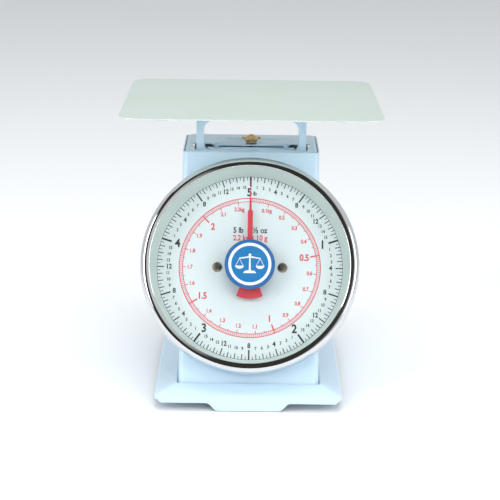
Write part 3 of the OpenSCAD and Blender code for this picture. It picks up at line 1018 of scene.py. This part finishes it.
    def gram_scale(self) -> None:
        """Prints the inner red scale: a double ring, ten-gram ticks and the kilograms."""
        step = 3.6 / self.turn_kg
        last = 220
        inner = self.ring_r - 3.3
        self.red += [
            self.ring(self.ring_r, 0.75),
            self.ring(inner, 0.6),
            self.ticks(self.ring_r, 3.3, 0.6, step, step, last),
            self.ticks(self.ring_r, 4.8, 0.6, step * 5, step * 5, last // 5, 0.005),
            self.ticks(inner, 2.8, 0.7, step * 10, step * 10, last // 10, 0.01),
            self.ticks(self.ring_r, 8.6, 1.3, step * 50, step * 50, last // 50, 0.015),
        ]
        for tenth in range(1, 23):
            angle = step * tenth * 10
            whole = tenth % 5 == 0
            text = f"{tenth / 10:g}"
            size, radius = (6.2, 51.0) if whole else (3.7, 55.2)
            if tenth == 1:
                text = "0.1kg"
            elif tenth == 22:
                text = "2.2kg"
            x, y = self.around(angle, radius)
            self.red.append(self.label(text, size, x, y, 0.26 if whole else 0.17))

    def capacity(self) -> None:
        """Prints the two capacity lines above the middle."""
        self.black.append(self.label("5 lb  × ½ oz", 5.4, 0, 34.6, 0.18))
        self.red.append(self.label("2.2 kg × 10 g", 5.2, 0, 27.4, 0.18))

    def print_dial(self) -> None:
        """Prints everything and lays it on the dial, one piece for each ink."""
        self.ounce_scale()
        self.gram_scale()
        self.capacity()
        for name, parts, finish in (
            ("black_print", self.black, BLACK_INK),
            ("red_print", self.red, RED_INK),
        ):
            piece = join(name, parts)
            piece.data.transform(FACE)
            piece.data.materials.clear()
            dress(piece, "root", "dial_enamel", finish, smooth=20)

    def screws(self) -> None:
        """Models the two domed screws that hold the dial, each with a cross recess."""
        places = [shift(x, 0, self.face) for x in (-self.screw_x, self.screw_x)]
        piece = repeat("dial_plate_screws", screw(4.6, 2.0, 1.5, 5.0), places)
        piece.data.transform(FACE)
        dress(piece, "root", "zinc_plate", NICKEL, ["dial_screws"])

    def pointer(self) -> None:
        """Models the pointer: a stepped blade, a boss and a counterweight, rounded all over."""
        half = [
            (2.35, 2), (2.35, 50.6), *arc((2.35 - 1.3, 50.6), 1.3, 2.6, 0, 90, 4),
            (0.95, 62.5), (0.4, 64.5), (0.25, 80.6), (0.0, 81.0),
        ]
        outline = half + [(-x, y) for x, y in half[-2::-1]]
        blade = plate("blade", outline, 8.0, 8.8)
        weight = plate("weight", [(-2, 0), *arc((0, 0), 30, 30, 246, 294, 12), (2, 0)], 8.0, 8.8)
        hub = [(2.5, 8.0), (6, 8.0), (6, 8.9), (5.6, 9.1), (2.5, 9.1), (2.5, 8.0)]
        boss = turned("boss", hub, 48)
        for part in (blade, weight):
            soften(part, 0.18, 2)
        piece = join("pointer_blade", [blade, weight, boss])
        piece.data.transform(FACE)
        dress(piece, "pointer_shaft", "pointer_enamel", replaces=["pointer"])

    def cap(self) -> None:
        """Models the round cap: a dark rim, a white ring and a blue disc with a balance on it."""
        top = 21.95
        section = [
            (0, 19.0), (22.0, 19.0), (22.8, 19.4), (23.0, 20.0), (23.0, 21.0),
            (22.6, 21.6), (21.8, 21.8), (19.6, 21.8), (16.9, 21.8), (0, 21.8),
        ]
        piece = turned("middle_cap", section, 96)
        for finish in (CAP_BLUE, CAP_RIM, CAP_WHITE):
            piece.data.materials.append(finish.build())
        for polygon in piece.data.polygons:
            centre = polygon.center
            reach = max(math.hypot(*piece.data.vertices[i].co.xy) for i in polygon.vertices) / MM
            on_top = centre.z > 21.75 * MM
            shown = 0 if reach < 17 else 2 if reach < 20 else 1
            polygon.material_index = shown if on_top else 1
        piece.data.transform(FACE)
        dress(piece, "root", "cap_plastic", [CAP_BLUE, CAP_RIM, CAP_WHITE], ["hub_cap"])
        emblem = self.balance(21.8, top)
        emblem.data.transform(FACE)
        dress(emblem, "root", "cap_plastic", CAP_WHITE)

    def balance(self, low: float, high: float) -> bpy.types.Object:
        """Models the cap's emblem: a plain beam balance with two pans."""
        beam = [(-10, 5.6), (-9.6, 4.6), (0, 6), (9.6, 4.6), (10, 5.6), (0, 7.4)]
        foot = [(-6, -8.4), (6, -8.4), (4.6, -6.4), (1.2, -5.8), (-1.2, -5.8), (-4.6, -6.4)]
        parts = [
            plate("column", [(-0.9, -6), (0.9, -6), (0.6, 7), (-0.6, 7)], low, high),
            plate("beam", beam, low, high),
            plate("foot", foot, low, high),
            plate("finial", arc((0, 8.4), 1.3, 1.3, 0, 345, 23), low, high),
        ]
        for side in (-1, 1):
            x = side * 9.4
            parts.append(plate("pan", arc((x, -1.6), 3.9, 2.9, 180, 360, 14), low, high))
            for lean in (-1, 1):
                end = x + lean * 3.4
                cord = [(x - 0.25, 5.0), (x + 0.25, 5.0), (end + 0.25, -1.6), (end - 0.25, -1.6)]
                parts.append(plate("cord", cord, low, high))
        return join("balance_emblem", parts)

    def build(self) -> None:
        """Builds the dial and what stands on it."""
        self.sheet()
        self.print_dial()
        self.screws()
        self.pointer()
        self.cap()


def screw(head_r: float, head_h: float, shank_r: float, shank: float) -> bpy.types.Object:
    """Models a domed screw along Z, its head resting on z = 0, with a cross recess.

    Args:
        head_r: Radius of the head.
        head_h: Height of the head.
        shank_r: Radius of the shank.
        shank: Length of the shank.

    Returns:
        The screw.
    """
    section = [
        (0, -shank), (shank_r * 0.8, -shank), (shank_r, -shank + 0.4), (shank_r, 0),
        (head_r - 0.15, 0), (head_r, 0.2), *arc((0, 0.3), head_r, head_h - 0.3, 4, 90, 8),
    ]
    piece = turned("screw", section, 40)
    depth = head_h * 0.55
    long, wide = head_r * 0.55, head_r * 0.13
    for x, y in ((long, wide), (wide, long)):
        cut(piece, block("cutter", (-x, -y, head_h - depth), (x, y, head_h + 1)))
    return piece


# ---------------------------------------------------------------- case


@dataclass
class Base:
    """The pressed base with its mitred border and drop tabs, and its feet.

    Attributes:
        width: Width over the lips.
        depth: Depth over the lips.
        lip_low: Height of the lip's lower edge.
        lip_high: Height of the lip's upper edge.
        top: Height of the border's inner edge.
        run_x: Width of the side borders.
        run_y: Width of the front and back borders.
        recess: Depth of the recess inside the border.
        sheet: Thickness of the sheet.
        tab_top: Half width of a tab at the lip.
        tab_foot: Half width of a tab at its foot.
        tab_low: Height of a tab's foot.
        corner: Radius of the pan's corners.
    """

    width: float = 170.0
    depth: float = 222.0
    lip_low: float = 8.0
    lip_high: float = 14.0
    top: float = 21.0
    run_x: float = 18.5
    run_y: float = 16.5
    recess: float = 3.0
    sheet: float = 1.2
    tab_top: float = 38.0
    tab_foot: float = 27.5
    tab_low: float = 0.7
    corner: float = 6.5

    def tab_steps(self) -> list[Point]:
        """Gives half widths and drops along the S-curved side of a tab."""
        steps = 9
        found = []
        for i in range(steps + 1):
            k = i / steps
            half = self.tab_foot + (self.tab_top - self.tab_foot) * k
            found.append((half, (self.lip_low - self.tab_low) * (1 + math.cos(math.pi * k)) / 2))
        return found

    def pan(self) -> None:
        """Models the pan: a round-cornered ring is raised to the border, dropped and filled."""
        rise = self.lip_high - self.lip_low
        run = (self.run_x, self.run_y)
        shelf = 1.5
        rings = [
            ((0, 0), self.corner, self.lip_low),
            ((0, 0), self.corner, self.lip_low + rise * 0.75),
            ((0.25, 0.25), 6.3, self.lip_high - 0.6),
            ((0.9, 0.9), 5.8, self.lip_high + 0.1),
            ((2.0, 2.0), 5.2, self.lip_high + 0.75),
            ((run[0] - 1.0, run[1] - 1.0), 1.6, self.top - 0.35),
            ((run[0] - 0.3, run[1] - 0.3), 1.5, self.top - 0.1),
            ((run[0] + 0.5, run[1] + 0.5), 1.4, self.top),
            ((run[0] + shelf, run[1] + shelf), 1.3, self.top - 0.3),
            ((run[0] + shelf + 0.2, run[1] + shelf + 0.2), 1.2, self.top - 0.9),
            ((run[0] + shelf + 0.2, run[1] + shelf + 0.2), 1.2, self.top - self.recess),
        ]
        outlines = [
            [(x, y, z) for x, y in rounded(self.width - 2 * ix, self.depth - 2 * iy, radius, 6)]
            for (ix, iy), radius, z in rings
        ]
        outlines[0] = [(x, y, self.lip_low + self.corner_lift(x, y)) for x, y, _ in outlines[0]]
        piece = raised("base_pan", outlines)
        self.drop_tabs(piece)
        thicken(piece, self.sheet)
        middle = (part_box("base")[0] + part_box("base")[1]) / 2
        piece.data.transform(Matrix.Translation((middle.x, middle.y, 0)))
        dress(piece, "root", "blue_enamel", replaces=["base"], smooth=50)

    def corner_lift(self, x: float, y: float) -> float:
        """Gives how far the lip's lower edge rises round a corner of the pan."""
        near = math.hypot(self.width / 2 - abs(x), self.depth / 2 - abs(y))
        share = min(1.0, max(0.0, 1 - near / self.corner) / 0.58)
        return 2.8 * share * share * (3 - 2 * share)

    def drop_tabs(self, piece: bpy.types.Object) -> None:
        """Cuts the lips at the tabs' steps and pulls their lower edges down to an S-curve."""
        steps = self.tab_steps()
        with editing(piece):
            for half, _ in steps:
                for x in (-half, half):
                    bpy.ops.mesh.select_all(action="SELECT")
                    bpy.ops.mesh.bisect(plane_co=(x * MM, 0, 0), plane_no=(1, 0, 0))
            for half, drop in steps:
                found = pick(
                    piece,
                    Part.POINTS,
                    lambda v: abs(abs(v.co.x) - half * MM) < 0.02 * MM
                    and v.co.z < (self.lip_low + 0.01) * MM
                    and abs(v.co.y) > (self.depth / 2 - 1) * MM,
                )
                if found and drop > 0.001:
                    bpy.ops.transform.translate(value=(0, 0, -drop * MM))

    def feet(self) -> None:
        """Models the four rubber feet, each with two grooves and a recess for its screw."""
        section = [
            (2.0, 3.0), (4.5, 3.0), (4.5, 0.4), (4.9, 0.0), (7.6, 0.0), (8.0, 0.4), (8.5, 4.6),
            (7.9, 5.0), (8.0, 5.8), (8.7, 6.2), (9.2, 10.4), (8.6, 10.8), (8.7, 11.6), (9.4, 12.0),
            (9.9, 16.4), (9.5, 16.75), (2.0, 16.75), (2.0, 3.0),
        ]
        low, high = (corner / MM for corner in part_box("rubber_feet"))
        inset = 10
        places = [
            shift(x, y)
            for x in (low.x + inset, high.x - inset)
            for y in (low.y + inset, high.y - inset)
        ]
        piece = repeat("feet", turned("foot", section, 48), places)
        dress(piece, "root", "rubber", replaces=["rubber_feet"])

    def build(self) -> None:
        """Builds the base."""
        self.pan()
        self.feet()


@dataclass
class Housing:
    """The wedge-shaped housing: its shell, top cover and rear cover.

    Attributes:
        width: Width over the sides.
        foot: Height of its lower edge.
        top: Height of its top.
        sheet: Thickness of the sheet.
        edge_r: Radius of the bends between the front and the sides.
        flange: Width of the flanges at the back.
        opening_r: Radius of the opening behind the dial.
        screw_x: Distance of the rear screws from the middle.
        screw_z: Heights of the rear screws.
    """

    width: float = 128.0
    foot: float = 18.0
    top: float = 215.0
    sheet: float = 1.2
    edge_r: float = 5.0
    back_r: float = 8.0
    flange: float = 18.0
    opening_r: float = 48.0
    screw_x: float = 50.0
    screw_z: tuple[float, float] = (40.0, 190.0)

    def front_y(self, z: float) -> float:
        """Gives where the front face lies at a height, in millimetres."""
        origin, out = FACE.translation / MM, FACE.col[2]
        return origin.y + (z - origin.z) * -out.z / out.y

    def shell(self) -> None:
        """Models the shell: a block is leaned, opened, bent round and given its wall."""
        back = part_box("housing_shell")[1].y / MM
        half = self.width / 2
        piece = block("housing_wrap", (-half, 0, self.foot), (half, back, self.top))
        with editing(piece):
            for z in (self.foot, self.top):
                pick(
                    piece,
                    Part.POINTS,
                    lambda v: v.co.y < 1 * MM and abs(v.co.z - z * MM) < 1 * MM,
                )
                bpy.ops.transform.translate(value=(0, self.front_y(z) * MM, 0))
            pick(piece, Part.FACES, lambda f: abs(f.normal.z) > 0.9 or f.normal.y > 0.9)
            bpy.ops.mesh.delete(type="FACE")
            pick(
                piece,
                Part.EDGES,
                lambda e: abs(e.verts[0].co.z - e.verts[1].co.z) > 0.1
                and max(v.co.y for v in e.verts) < 0.01,
            )
            bpy.ops.mesh.bevel(offset=self.edge_r * MM, segments=7)
            for side in (-1, 1):
                pick(
                    piece,
                    Part.EDGES,
                    lambda e: min(v.co.y for v in e.verts) > (back - 0.1) * MM
                    and min(side * v.co.x for v in e.verts) > (half - 1) * MM,
                )
                bpy.ops.mesh.extrude_region()
                bpy.ops.transform.translate(value=(-side * self.flange * MM, 0, 0))
            pick(
                piece,
                Part.EDGES,
                lambda e: min(v.co.y for v in e.verts) > (back - 0.1) * MM
                and min(abs(v.co.x) for v in e.verts) > (half - 1) * MM,
            )
            bpy.ops.mesh.bevel(offset=self.back_r * MM, segments=8)
        outwards(piece)
        thicken(piece, self.sheet)
        inner, above, behind = half - self.sheet, self.top + 1, back + 5
        notch = block("cutter", (-inner, back - 4, self.top - 12), (inner, behind, above))
        low, high = (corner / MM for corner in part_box("rear_cover"))
        rebate = block("cutter", (low.x - 0.3, low.y - 0.1, 0), (high.x + 0.3, behind, above))
        cut(piece, drill(self.opening_r, -6, 6, FACE), notch, rebate)
        soften(piece, 0.25, 2, 60)
        dress(piece, "root", "blue_enamel", replaces=["housing_shell"])

    def top_cover(self) -> None:
        """Models the top cover: a rounded plate with turned-down sides and its slots."""
        low, high = (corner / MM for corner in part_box("top_cover"))
        inset = 0.5
        half, front, back = high.x - inset, low.y + 0.2, high.y - 0.2
        outline = [
            *arc((half - self.back_r, back - self.back_r), self.back_r, self.back_r, 0, 90),
            *arc((self.back_r - half, back - self.back_r), self.back_r, self.back_r, 90, 180),
            *arc((1.5 - half, front + 1.5), 1.5, 1.5, 180, 270, 4),
            *arc((half - 1.5, front + 1.5), 1.5, 1.5, 270, 360, 4),
        ]
        piece = plate("top_plate", outline, self.top - self.sheet, self.top)
        frame_slot = [
            (-52.6, -4.5), (52.6, -4.5), (56.5, 27), (38, 27),
            (36, 20), (-36, 20), (-38, 27), (-56.5, 27),
        ]
        cutters = [
            plate("cutter", frame_slot, 200, 230),
            drill(5.5, 200, 230, shift(0, 28)),
            block("cutter", (-23, 47, 200), (23, 49.4, 230)),
            block("cutter", (-9, low.y + 1.8, 200), (9, low.y + 4.2, 230)),
        ]
        cut(piece, *cutters)
        soften(piece, 0.4, 3)
        sides = []
        for side in (-1, 1):
            x = side * (high.x - inset - 0.1)
            ends = sorted((x, x - side * self.sheet))
            flange = block(
                "flange",
                (ends[0], low.y + 4, self.top - 9),
                (ends[1], high.y - self.back_r - 1, self.top - self.sheet - 0.01),
            )
            soften(flange, 0.3, 2)
            sides.append(flange)
        dress(join("top_panel", [piece, *sides]), "root", "blue_enamel", replaces=["top_cover"])

    def screw_places(self, y: float) -> list[Matrix]:
        """Gives the places of the rear cover's four screws at a depth y, in millimetres."""
        return [shift(x, y, z) for x in (-self.screw_x, self.screw_x) for z in self.screw_z]

    def rear_cover(self) -> None:
        """Models the rear cover: a plate with a sunken field and six vent slots, one above another."""
        low, high = (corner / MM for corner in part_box("rear_cover"))
        piece = block("rear_panel", low, high)
        with editing(piece):
            pick(piece, Part.FACES, lambda f: f.normal.y > 0.9)
            bpy.ops.mesh.inset(thickness=14 * MM)
            bpy.ops.mesh.inset(thickness=2 * MM)
            bpy.ops.transform.translate(value=(0, -0.5 * MM, 0))
        cutters = [drill(1.7, -6, 6, place @ about("X", 90)) for place in self.screw_places(high.y)]
        for z in range(6):
            height = 60 + 8 * z
            slot = [(x, y + height) for x, y in rounded(44, 2.6, 1.25, 4)]
            vent = plate("cutter", slot, -8, 8)
            vent.data.transform(upright(high.y))
            cutters.append(vent)
        cut(piece, *cutters)
        soften(piece, 0.3, 2)
        dress(piece, "root", "blue_enamel", replaces=["rear_cover"])

    def rear_screws(self) -> None:
        """Models the four screws that hold the rear cover."""
        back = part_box("rear_cover")[1].y / MM
        places = [place @ about("X", -90) for place in self.screw_places(back)]
        piece = repeat("rear_screws", screw(3.4, 1.8, 1.5, 5.0), places)
        dress(piece, "root", "zinc_plate", replaces=["rear_cover_screws"])

    def build(self) -> None:
        """Builds the housing."""
        self.shell()
        self.top_cover()
        self.rear_cover()
        self.rear_screws()


# ---------------------------------------------------------------- platform


@dataclass
class LiftingFrame:
    """The two posts, the bar under the tray, the channel in the slot and the tray's spider.

    Attributes:
        post_x: Distance of each post from the middle.
        post_w: Width of a post.
        flare: How far a post widens where it meets the channel.
        fillet: Radius where a post meets the bar.
        pin_hole: Radius of the holes for the links' pins.
        bar_z: Height of the bar's underside.
        channel: Lowest and highest corner of the cross channel.
        ear_x: Distance of each ear on the channel from the middle.
    """

    post_x: float = 48.2
    post_w: float = 7.0
    flare: float = 3.0
    fillet: float = 9.0
    pin_hole: float = 2.0
    bar_z: float = 242.0
    channel: tuple = ((-41.7, -3.5, 208.0), (41.7, 19.0, 213.0))
    ear_x: float = 33.0

    def post(self, side: int, node: str) -> None:
        """Models one post: a flat bar with a flared waist and a fillet under the bar."""
        low, high = (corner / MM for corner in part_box(node))
        half, flare = self.post_w / 2, self.flare
        foot = (-half - flare + 1.5, 209.5)
        turn = self.fillet
        outline = [
            (-half, low.z), (half, low.z), (half, self.bar_z), (-half - turn, self.bar_z),
            *arc((-half - turn, self.bar_z - turn), turn, turn, 84, 0, 9),
            *arc((-half - 4.5, 222), 4.5, 9.5, 0, -70, 7),
            *arc(foot, 1.5, 2.5, 90, 270, 6),
            (-half, 205),
        ]
        piece = plate(f"{node}_bar", outline, 0, high.y - low.y)
        if side < 0:
            piece.data.transform(Matrix.Diagonal((-1, 1, 1, 1)))
        x = side * self.post_x
        piece.data.transform(shift(x) @ upright(high.y))
        cutters = [
            drill(self.pin_hole, -9, 9, Matrix.Translation((x * MM, pin.y, pin.z)) @ about("Y", 90))
            for pin in self.pins()
        ]
        outwards(piece)
        cut(piece, *cutters)
        soften(piece, 0.9, 3, 50)
        dress(piece, "platform", "blue_enamel", replaces=[node])

    def pins(self) -> list[Vector]:
        """Gives the middles of the upper and lower front pins."""
        low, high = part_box("link_front_pins")
        y = (low.y + high.y) / 2
        return [Vector((0, y, high.z - 2 * MM)), Vector((0, y, low.z + 2 * MM))]

    def cross_channel(self) -> None:
        """Models the channel: a block is inset and hollowed, and notched near its ends."""
        low, high = self.channel
        piece = block("frame_channel", low, high)
        with editing(piece):
            pick(piece, Part.FACES, lambda f: f.normal.z > 0.9)
            bpy.ops.mesh.inset(thickness=1.5 * MM)
            bpy.ops.transform.translate(value=(0, 0, -3.4 * MM))
        notches = [
            block("cutter", (x - 2.6, -5, 200), (x + 2.6, 15, 220)) for x in (-36, 36)
        ]
        cut(piece, *notches)
        parts = [piece]
        for side in (-1, 1):
            shape = [(-2.4, 212), (2.4, 212), *arc((0, 215.4), 2.4, 1.8, 0, 180, 10)]
            ear = plate("ear", shape, 0, 1.2)
            ear.data.transform(shift(side * self.ear_x) @ upright(high[1]))
            outwards(ear)
            parts.append(ear)
        for part in parts:
            soften(part, 0.35, 2)
        dress(join("frame_channel", parts), "platform", "blue_enamel", replaces=["cross_channel"])

    def top_bar(self) -> None:
        """Models the bar under the tray: a channel that opens downwards."""
        low, high = (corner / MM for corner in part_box("top_bar"))
        piece = block("under_tray_bar", low, high)
        end = 5.7
        hollow = (low.x + end, low.y - 1, low.z - 1), (high.x - end, high.y + 1, high.z - 2)
        cut(piece, block("cutter", *hollow))
        soften(piece, 0.8, 3)
        dress(piece, "platform", "blue_enamel", replaces=["top_bar"])

    def spider(self) -> None:
        """Models the spider: a plate with four arms that end in round pads, and two holes through it."""
        low, high = (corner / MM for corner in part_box("tray_spider"))
        reach, pad = 9.0, 6.8
        mid_y = (low.y + high.y) / 2
        end_x, end_y = high.x - reach, (high.y - low.y) / 2 - reach
        outline: list[Point] = []
        for sx, sy in ((1, 1), (-1, 1), (-1, -1), (1, -1)):
            angle = math.degrees(math.atan2(sy * end_y, sx * end_x))
            ends = arc((sx * end_x, sy * end_y), reach, reach, angle - 130, angle + 130, 12)
            a = math.radians(angle)
            along, side = Vector((math.cos(a), math.sin(a))), Vector((-math.sin(a), math.cos(a)))
            roots = [along * 36 - side * pad, along * 36 + side * pad]
            outline += [tuple(roots[0]), *ends, tuple(roots[1])]
        piece = plate("spider_arms", [(x, y + mid_y) for x, y in outline], low.z, high.z)
        cutters = [drill(2.0, low.z - 1, high.z + 1, shift(x, 10)) for x in (-25, 25)]
        cut(piece, *cutters)
        soften(piece, 0.5, 2)
        dress(piece, "platform", "blue_enamel", replaces=["tray_spider"])

    def pads(self) -> None:
        """Models the four rubber pads that the tray rests on."""
        low, high = (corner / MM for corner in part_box("tray_pads"))
        section = [
            (3, low.z), (6.6, low.z), (7, low.z + 0.4), (6.5, low.z + 1.2), (6.5, high.z - 1.4),
            (7, high.z - 0.9), (7, high.z - 0.3), (6.7, high.z), (3.3, high.z), (3, high.z - 0.3),
            (3, low.z),
        ]
        places = [shift(x, y) for x in (low.x + 7, high.x - 7) for y in (low.y + 7, high.y - 7)]
        piece = repeat("rubber_pads", turned("pad", section, 40), places)
        dress(piece, "platform", "rubber", replaces=["tray_pads"])

    def build(self) -> None:
        """Builds the frame."""
        self.post(-1, "left_post")
        self.post(1, "right_post")
        self.cross_channel()
        self.top_bar()
        self.spider()
        self.pads()


@dataclass
class Tray:
    """The flat tray.

    Attributes:
        radius: Radius of its corners.
        edge: Width of the rounding along its rim.
    """

    radius: float = 18.0
    edge: float = 0.6

    def build(self) -> None:
        """Models the sheet: a plate with round corners and a rounded rim."""
        low, high = (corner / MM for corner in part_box("tray"))
        middle = (low + high) / 2
        outline = [
            (x + middle.x, y + middle.y)
            for x, y in rounded(high.x - low.x, high.y - low.y, self.radius, 12)
        ]
        piece = plate("tray_sheet", outline, low.z, high.z)
        soften(piece, self.edge, 3, 60)
        dress(piece, "tray", "stainless_sheet", replaces=["tray"])


@dataclass
class ZeroKnob:
    """The brass knob that sets the pointer to zero.

    Attributes:
        body_r: Mean radius of the ribbed body.
        rib: Height of the ribs.
        ribs: How many ribs it has.
        arm: Reach of the five arms.
        arms: How many arms it has.
    """

    body_r: float = 4.6
    rib: float = 0.35
    ribs: int = 16
    arm: float = 9.5
    arms: int = 5

    def build(self) -> None:
        """Models the ribbed body, the star of arms and the nub on top."""
        low, high = (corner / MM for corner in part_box("zero_knob"))
        middle = (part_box("zero_screw")[0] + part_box("zero_screw")[1]) / 2 / MM
        steps = self.ribs * 8
        ribbed = []
        for i in range(steps):
            a = 2 * math.pi * i / steps
            r = self.body_r + self.rib * math.cos(self.ribs * a)
            ribbed.append((r * math.cos(a), r * math.sin(a)))
        height = high.z - low.z
        body = plate("body", ribbed, low.z, low.z + height * 0.8)
        end_r = 1.9
        star: list[Point] = []
        for k in range(self.arms):
            a = 18 + 360 * k / self.arms
            (tip,) = arc((0, 0), self.arm - end_r, self.arm - end_r, a, a, 1)[:1]
            star += arc(tip, end_r, end_r, a - 80, a + 80, 8)
            star += arc((0, 0), 5.0, 5.0, a + 36, a + 36, 1)[:1]
        wings = plate("wings", star, low.z + height * 0.4, low.z + height * 0.4 + 2.2)
        neck = low.z + height * 0.79
        nub = turned(
            "nub",
            [(0, neck), (2.6, neck), (2.6, high.z - 0.5), (2.1, high.z), (0.9, high.z),
             (0.7, high.z - 0.5), (0, high.z - 0.5)],
            32,
        )
        soften(body, 0.15, 2, 60)
        soften(wings, 0.5, 3, 50)
        piece = join("knurled_knob", [body, wings, nub])
        piece.data.transform(shift(middle.x, middle.y))
        dress(piece, "zero_adjuster", "brass", replaces=["zero_knob"], smooth=30)


@dataclass
class Springs:
    """The two main springs, wound as real helices with a straight lead at each end.

    Attributes:
        wire: Radius of the wire.
        turns: Turns in the coil.
        per_turn: Points in one turn.
    """

    wire: float = 0.8
    turns: int = 24
    per_turn: int = 20

    def spring(self, node: str, name: str) -> None:
        """Winds one spring inside its CAD node's box."""
        low, high = (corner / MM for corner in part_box(node))
        x, y = (low.x + high.x) / 2, (low.y + high.y) / 2
        radius = (high.x - low.x) / 2 - self.wire
        bottom, top = low.z + 14, high.z - 14
        points = [(0.0, 0.0, low.z), (0.0, 0.0, bottom - 4)]
        for i in range(self.turns * self.per_turn + 1):
            k = i / (self.turns * self.per_turn)
            a = 2 * math.pi * self.turns * k
            points.append((radius * math.cos(a), radius * math.sin(a), bottom + (top - bottom) * k))
        points += [(0.0, 0.0, top + 4), (0.0, 0.0, high.z)]
        curve = bpy.data.curves.new(name, "CURVE")
        curve.dimensions = "3D"
        curve.bevel_depth = self.wire * MM
        curve.bevel_resolution = 2
        curve.use_fill_caps = True
        line = curve.splines.new("POLY")
        line.points.add(len(points) - 1)
        for point, (px, py, pz) in zip(line.points, points):
            point.co = ((x + px) * MM, (y + py) * MM, pz * MM, 1)
        piece = bpy.data.objects.new(name, curve)
        bpy.context.scene.collection.objects.link(piece)
        take(piece)
        bpy.ops.object.convert(target="MESH")
        piece = bpy.context.object
        bpy.ops.object.shade_smooth_by_angle(angle=math.radians(60))
        piece.data.materials.append(WIRE.build())
        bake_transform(piece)
        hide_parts(node)
        LOG.info("%s: %d faces between root and platform", name, len(piece.data.polygons))

    def build(self) -> None:
        """Builds both springs."""
        self.spring("left_spring", "left_coil")
        self.spring("right_spring", "right_coil")


# ---------------------------------------------------------------- studio


@dataclass
class Studio:
    """The floor, lights and camera.

    Attributes:
        eye: Where the camera stands, in millimetres.
        pitch: How far it looks down, in degrees.
        roll: How far it leans, in degrees.
        lens: Its focal length on a 36 mm sensor.
        dark_side: Direction of the middle of the room's dark part.
        sky: Strength of the room's light.
    """

    eye: tuple[float, float, float] = (0.0, -1497.0, 523.0)
    pitch: float = 15.2
    roll: float = 0.7
    lens: float = 116.35
    dark_side: tuple[float, float, float] = (-0.1, -0.88, 0.46)
    sky: float = 0.75

    def floor(self) -> None:
        """Lays a pale floor far past the view."""
        piece = primitive("plane", "floor", size=12)
        with editing(piece):
            bpy.ops.transform.translate(value=(0, 0, -0.1 * MM))
        piece.data.materials.append(FLOOR.build())

    def lamp(
        self,
        name: str,
        place: Sequence[float],
        size: Point,
        power: float,
        mirrored: bool = True,
    ) -> None:
        """Adds a soft rectangular lamp that points at the scale and isn't seen in the lens.

        Args:
            name: The lamp's name.
            place: Where it hangs, in metres.
            size: Its width and height, in metres.
            power: Its power, in watts.
            mirrored: Whether glossy surfaces show it.
        """
        data = bpy.data.lights.new(name, "AREA")
        data.shape = "RECTANGLE"
        data.size, data.size_y = size
        data.energy = power
        lamp = bpy.data.objects.new(name, data)
        lamp.location = place
        aim = Vector((0, 0, 0.12)) - Vector(place)
        lamp.rotation_euler = aim.to_track_quat("-Z", "Y").to_euler()
        lamp.visible_glossy = mirrored
        lamp.visible_transmission = False
        bpy.context.scene.collection.objects.link(lamp)

    def surroundings(self) -> None:
        """Lights the scene from a pale room with a dark opening ahead of the dial."""
        world = bpy.data.worlds.new("studio")
        world.use_nodes = True
        tree = world.node_tree
        tree.nodes.clear()
        coords = add_node(tree, "ShaderNodeTexCoord").outputs["Generated"]
        ahead = add_node(
            tree, "ShaderNodeVectorMath", {0: coords, 1: self.dark_side}, operation="DOT_PRODUCT"
        )
        across = add_node(tree, "ShaderNodeSeparateXYZ", {"Vector": coords})
        aside = add_node(tree, "ShaderNodeMath", {0: across.outputs["X"], 1: 0.2}, operation="ADD")
        width = add_node(tree, "ShaderNodeMath", {0: aside.outputs[0]}, operation="ABSOLUTE")
        limits = ((ahead.outputs["Value"], 0.35, 0.6), (width.outputs[0], 0.52, 0.34))
        inside = [
            add_node(
                tree, "ShaderNodeMapRange", {"Value": value, "From Min": edge, "From Max": core}
            ).outputs["Result"]
            for value, edge, core in limits
        ]
        shade = add_node(tree, "ShaderNodeMath", dict(enumerate(inside)), operation="MULTIPLY")
        ramp = add_node(tree, "ShaderNodeValToRGB", {"Fac": shade.outputs[0]})
        bright, dark = ramp.color_ramp.elements
        bright.color = (0.96, 0.98, 1.0, 1)
        dark.color = (0.06, 0.056, 0.05, 1)
        light = add_node(
            tree, "ShaderNodeBackground", {"Color": ramp.outputs["Color"], "Strength": self.sky}
        )
        add_node(tree, "ShaderNodeOutputWorld", {"Surface": light.outputs["Background"]})
        bpy.context.scene.world = world

    def camera(self) -> None:
        """Sets up the camera and the plain view transform."""
        data = bpy.data.cameras.new("camera")
        data.lens = self.lens
        data.sensor_width = 36
        camera = bpy.data.objects.new("camera", data)
        turn, lean = about("X", 90 - self.pitch), about("Z", self.roll)
        camera.matrix_world = shift(*self.eye) @ turn @ lean
        bpy.context.scene.collection.objects.link(camera)
        bpy.context.scene.camera = camera
        bpy.context.scene.view_settings.view_transform = "Standard"

    def build(self) -> None:
        """Sets up the studio."""
        self.floor()
        self.surroundings()
        self.lamp("key", (-1.9, -1.7, 1.5), (1.2, 1.6), 30)
        self.lamp("fill", (1.9, -1.6, 1.2), (1.0, 1.6), 20)
        self.lamp("top", (0.0, -0.4, 2.6), (1.6, 1.2), 24, mirrored=False)
        self.lamp("high front", (0.2, -1.9, 2.0), (0.9, 0.6), 14, mirrored=False)
        self.lamp("low front", (0.0, -2.6, 1.0), (1.5, 1.0), 20, mirrored=False)
        self.camera()


# ---------------------------------------------------------------- the whole scale


def dress_frame() -> None:
    """Gives every CAD node that still shows the finish of its slot."""
    slots = {s["node"]: s["material_slot"] for s in FRAME["record"]["subparts"]}
    for name, node in FRAME["nodes"].items():
        if node.hide_render:
            continue
        node.data.materials.clear()
        node.data.materials.append(SLOT_FINISHES[slots[name]].build())
        LOG.info("%s: kept from the frame as %s", name, slots[name])


def main() -> None:
    """Builds every sub-assembly, then dresses what is left of the frame."""
    logging.basicConfig(level=logging.INFO, format="%(name)s: %(message)s")
    parts = (Studio, Base, Housing, DialCase, Dial, LiftingFrame, Tray, ZeroKnob, Springs)
    for part in parts:
        part().build()
    dress_frame()
    put_down()


if __name__ == "__main__":
    main()
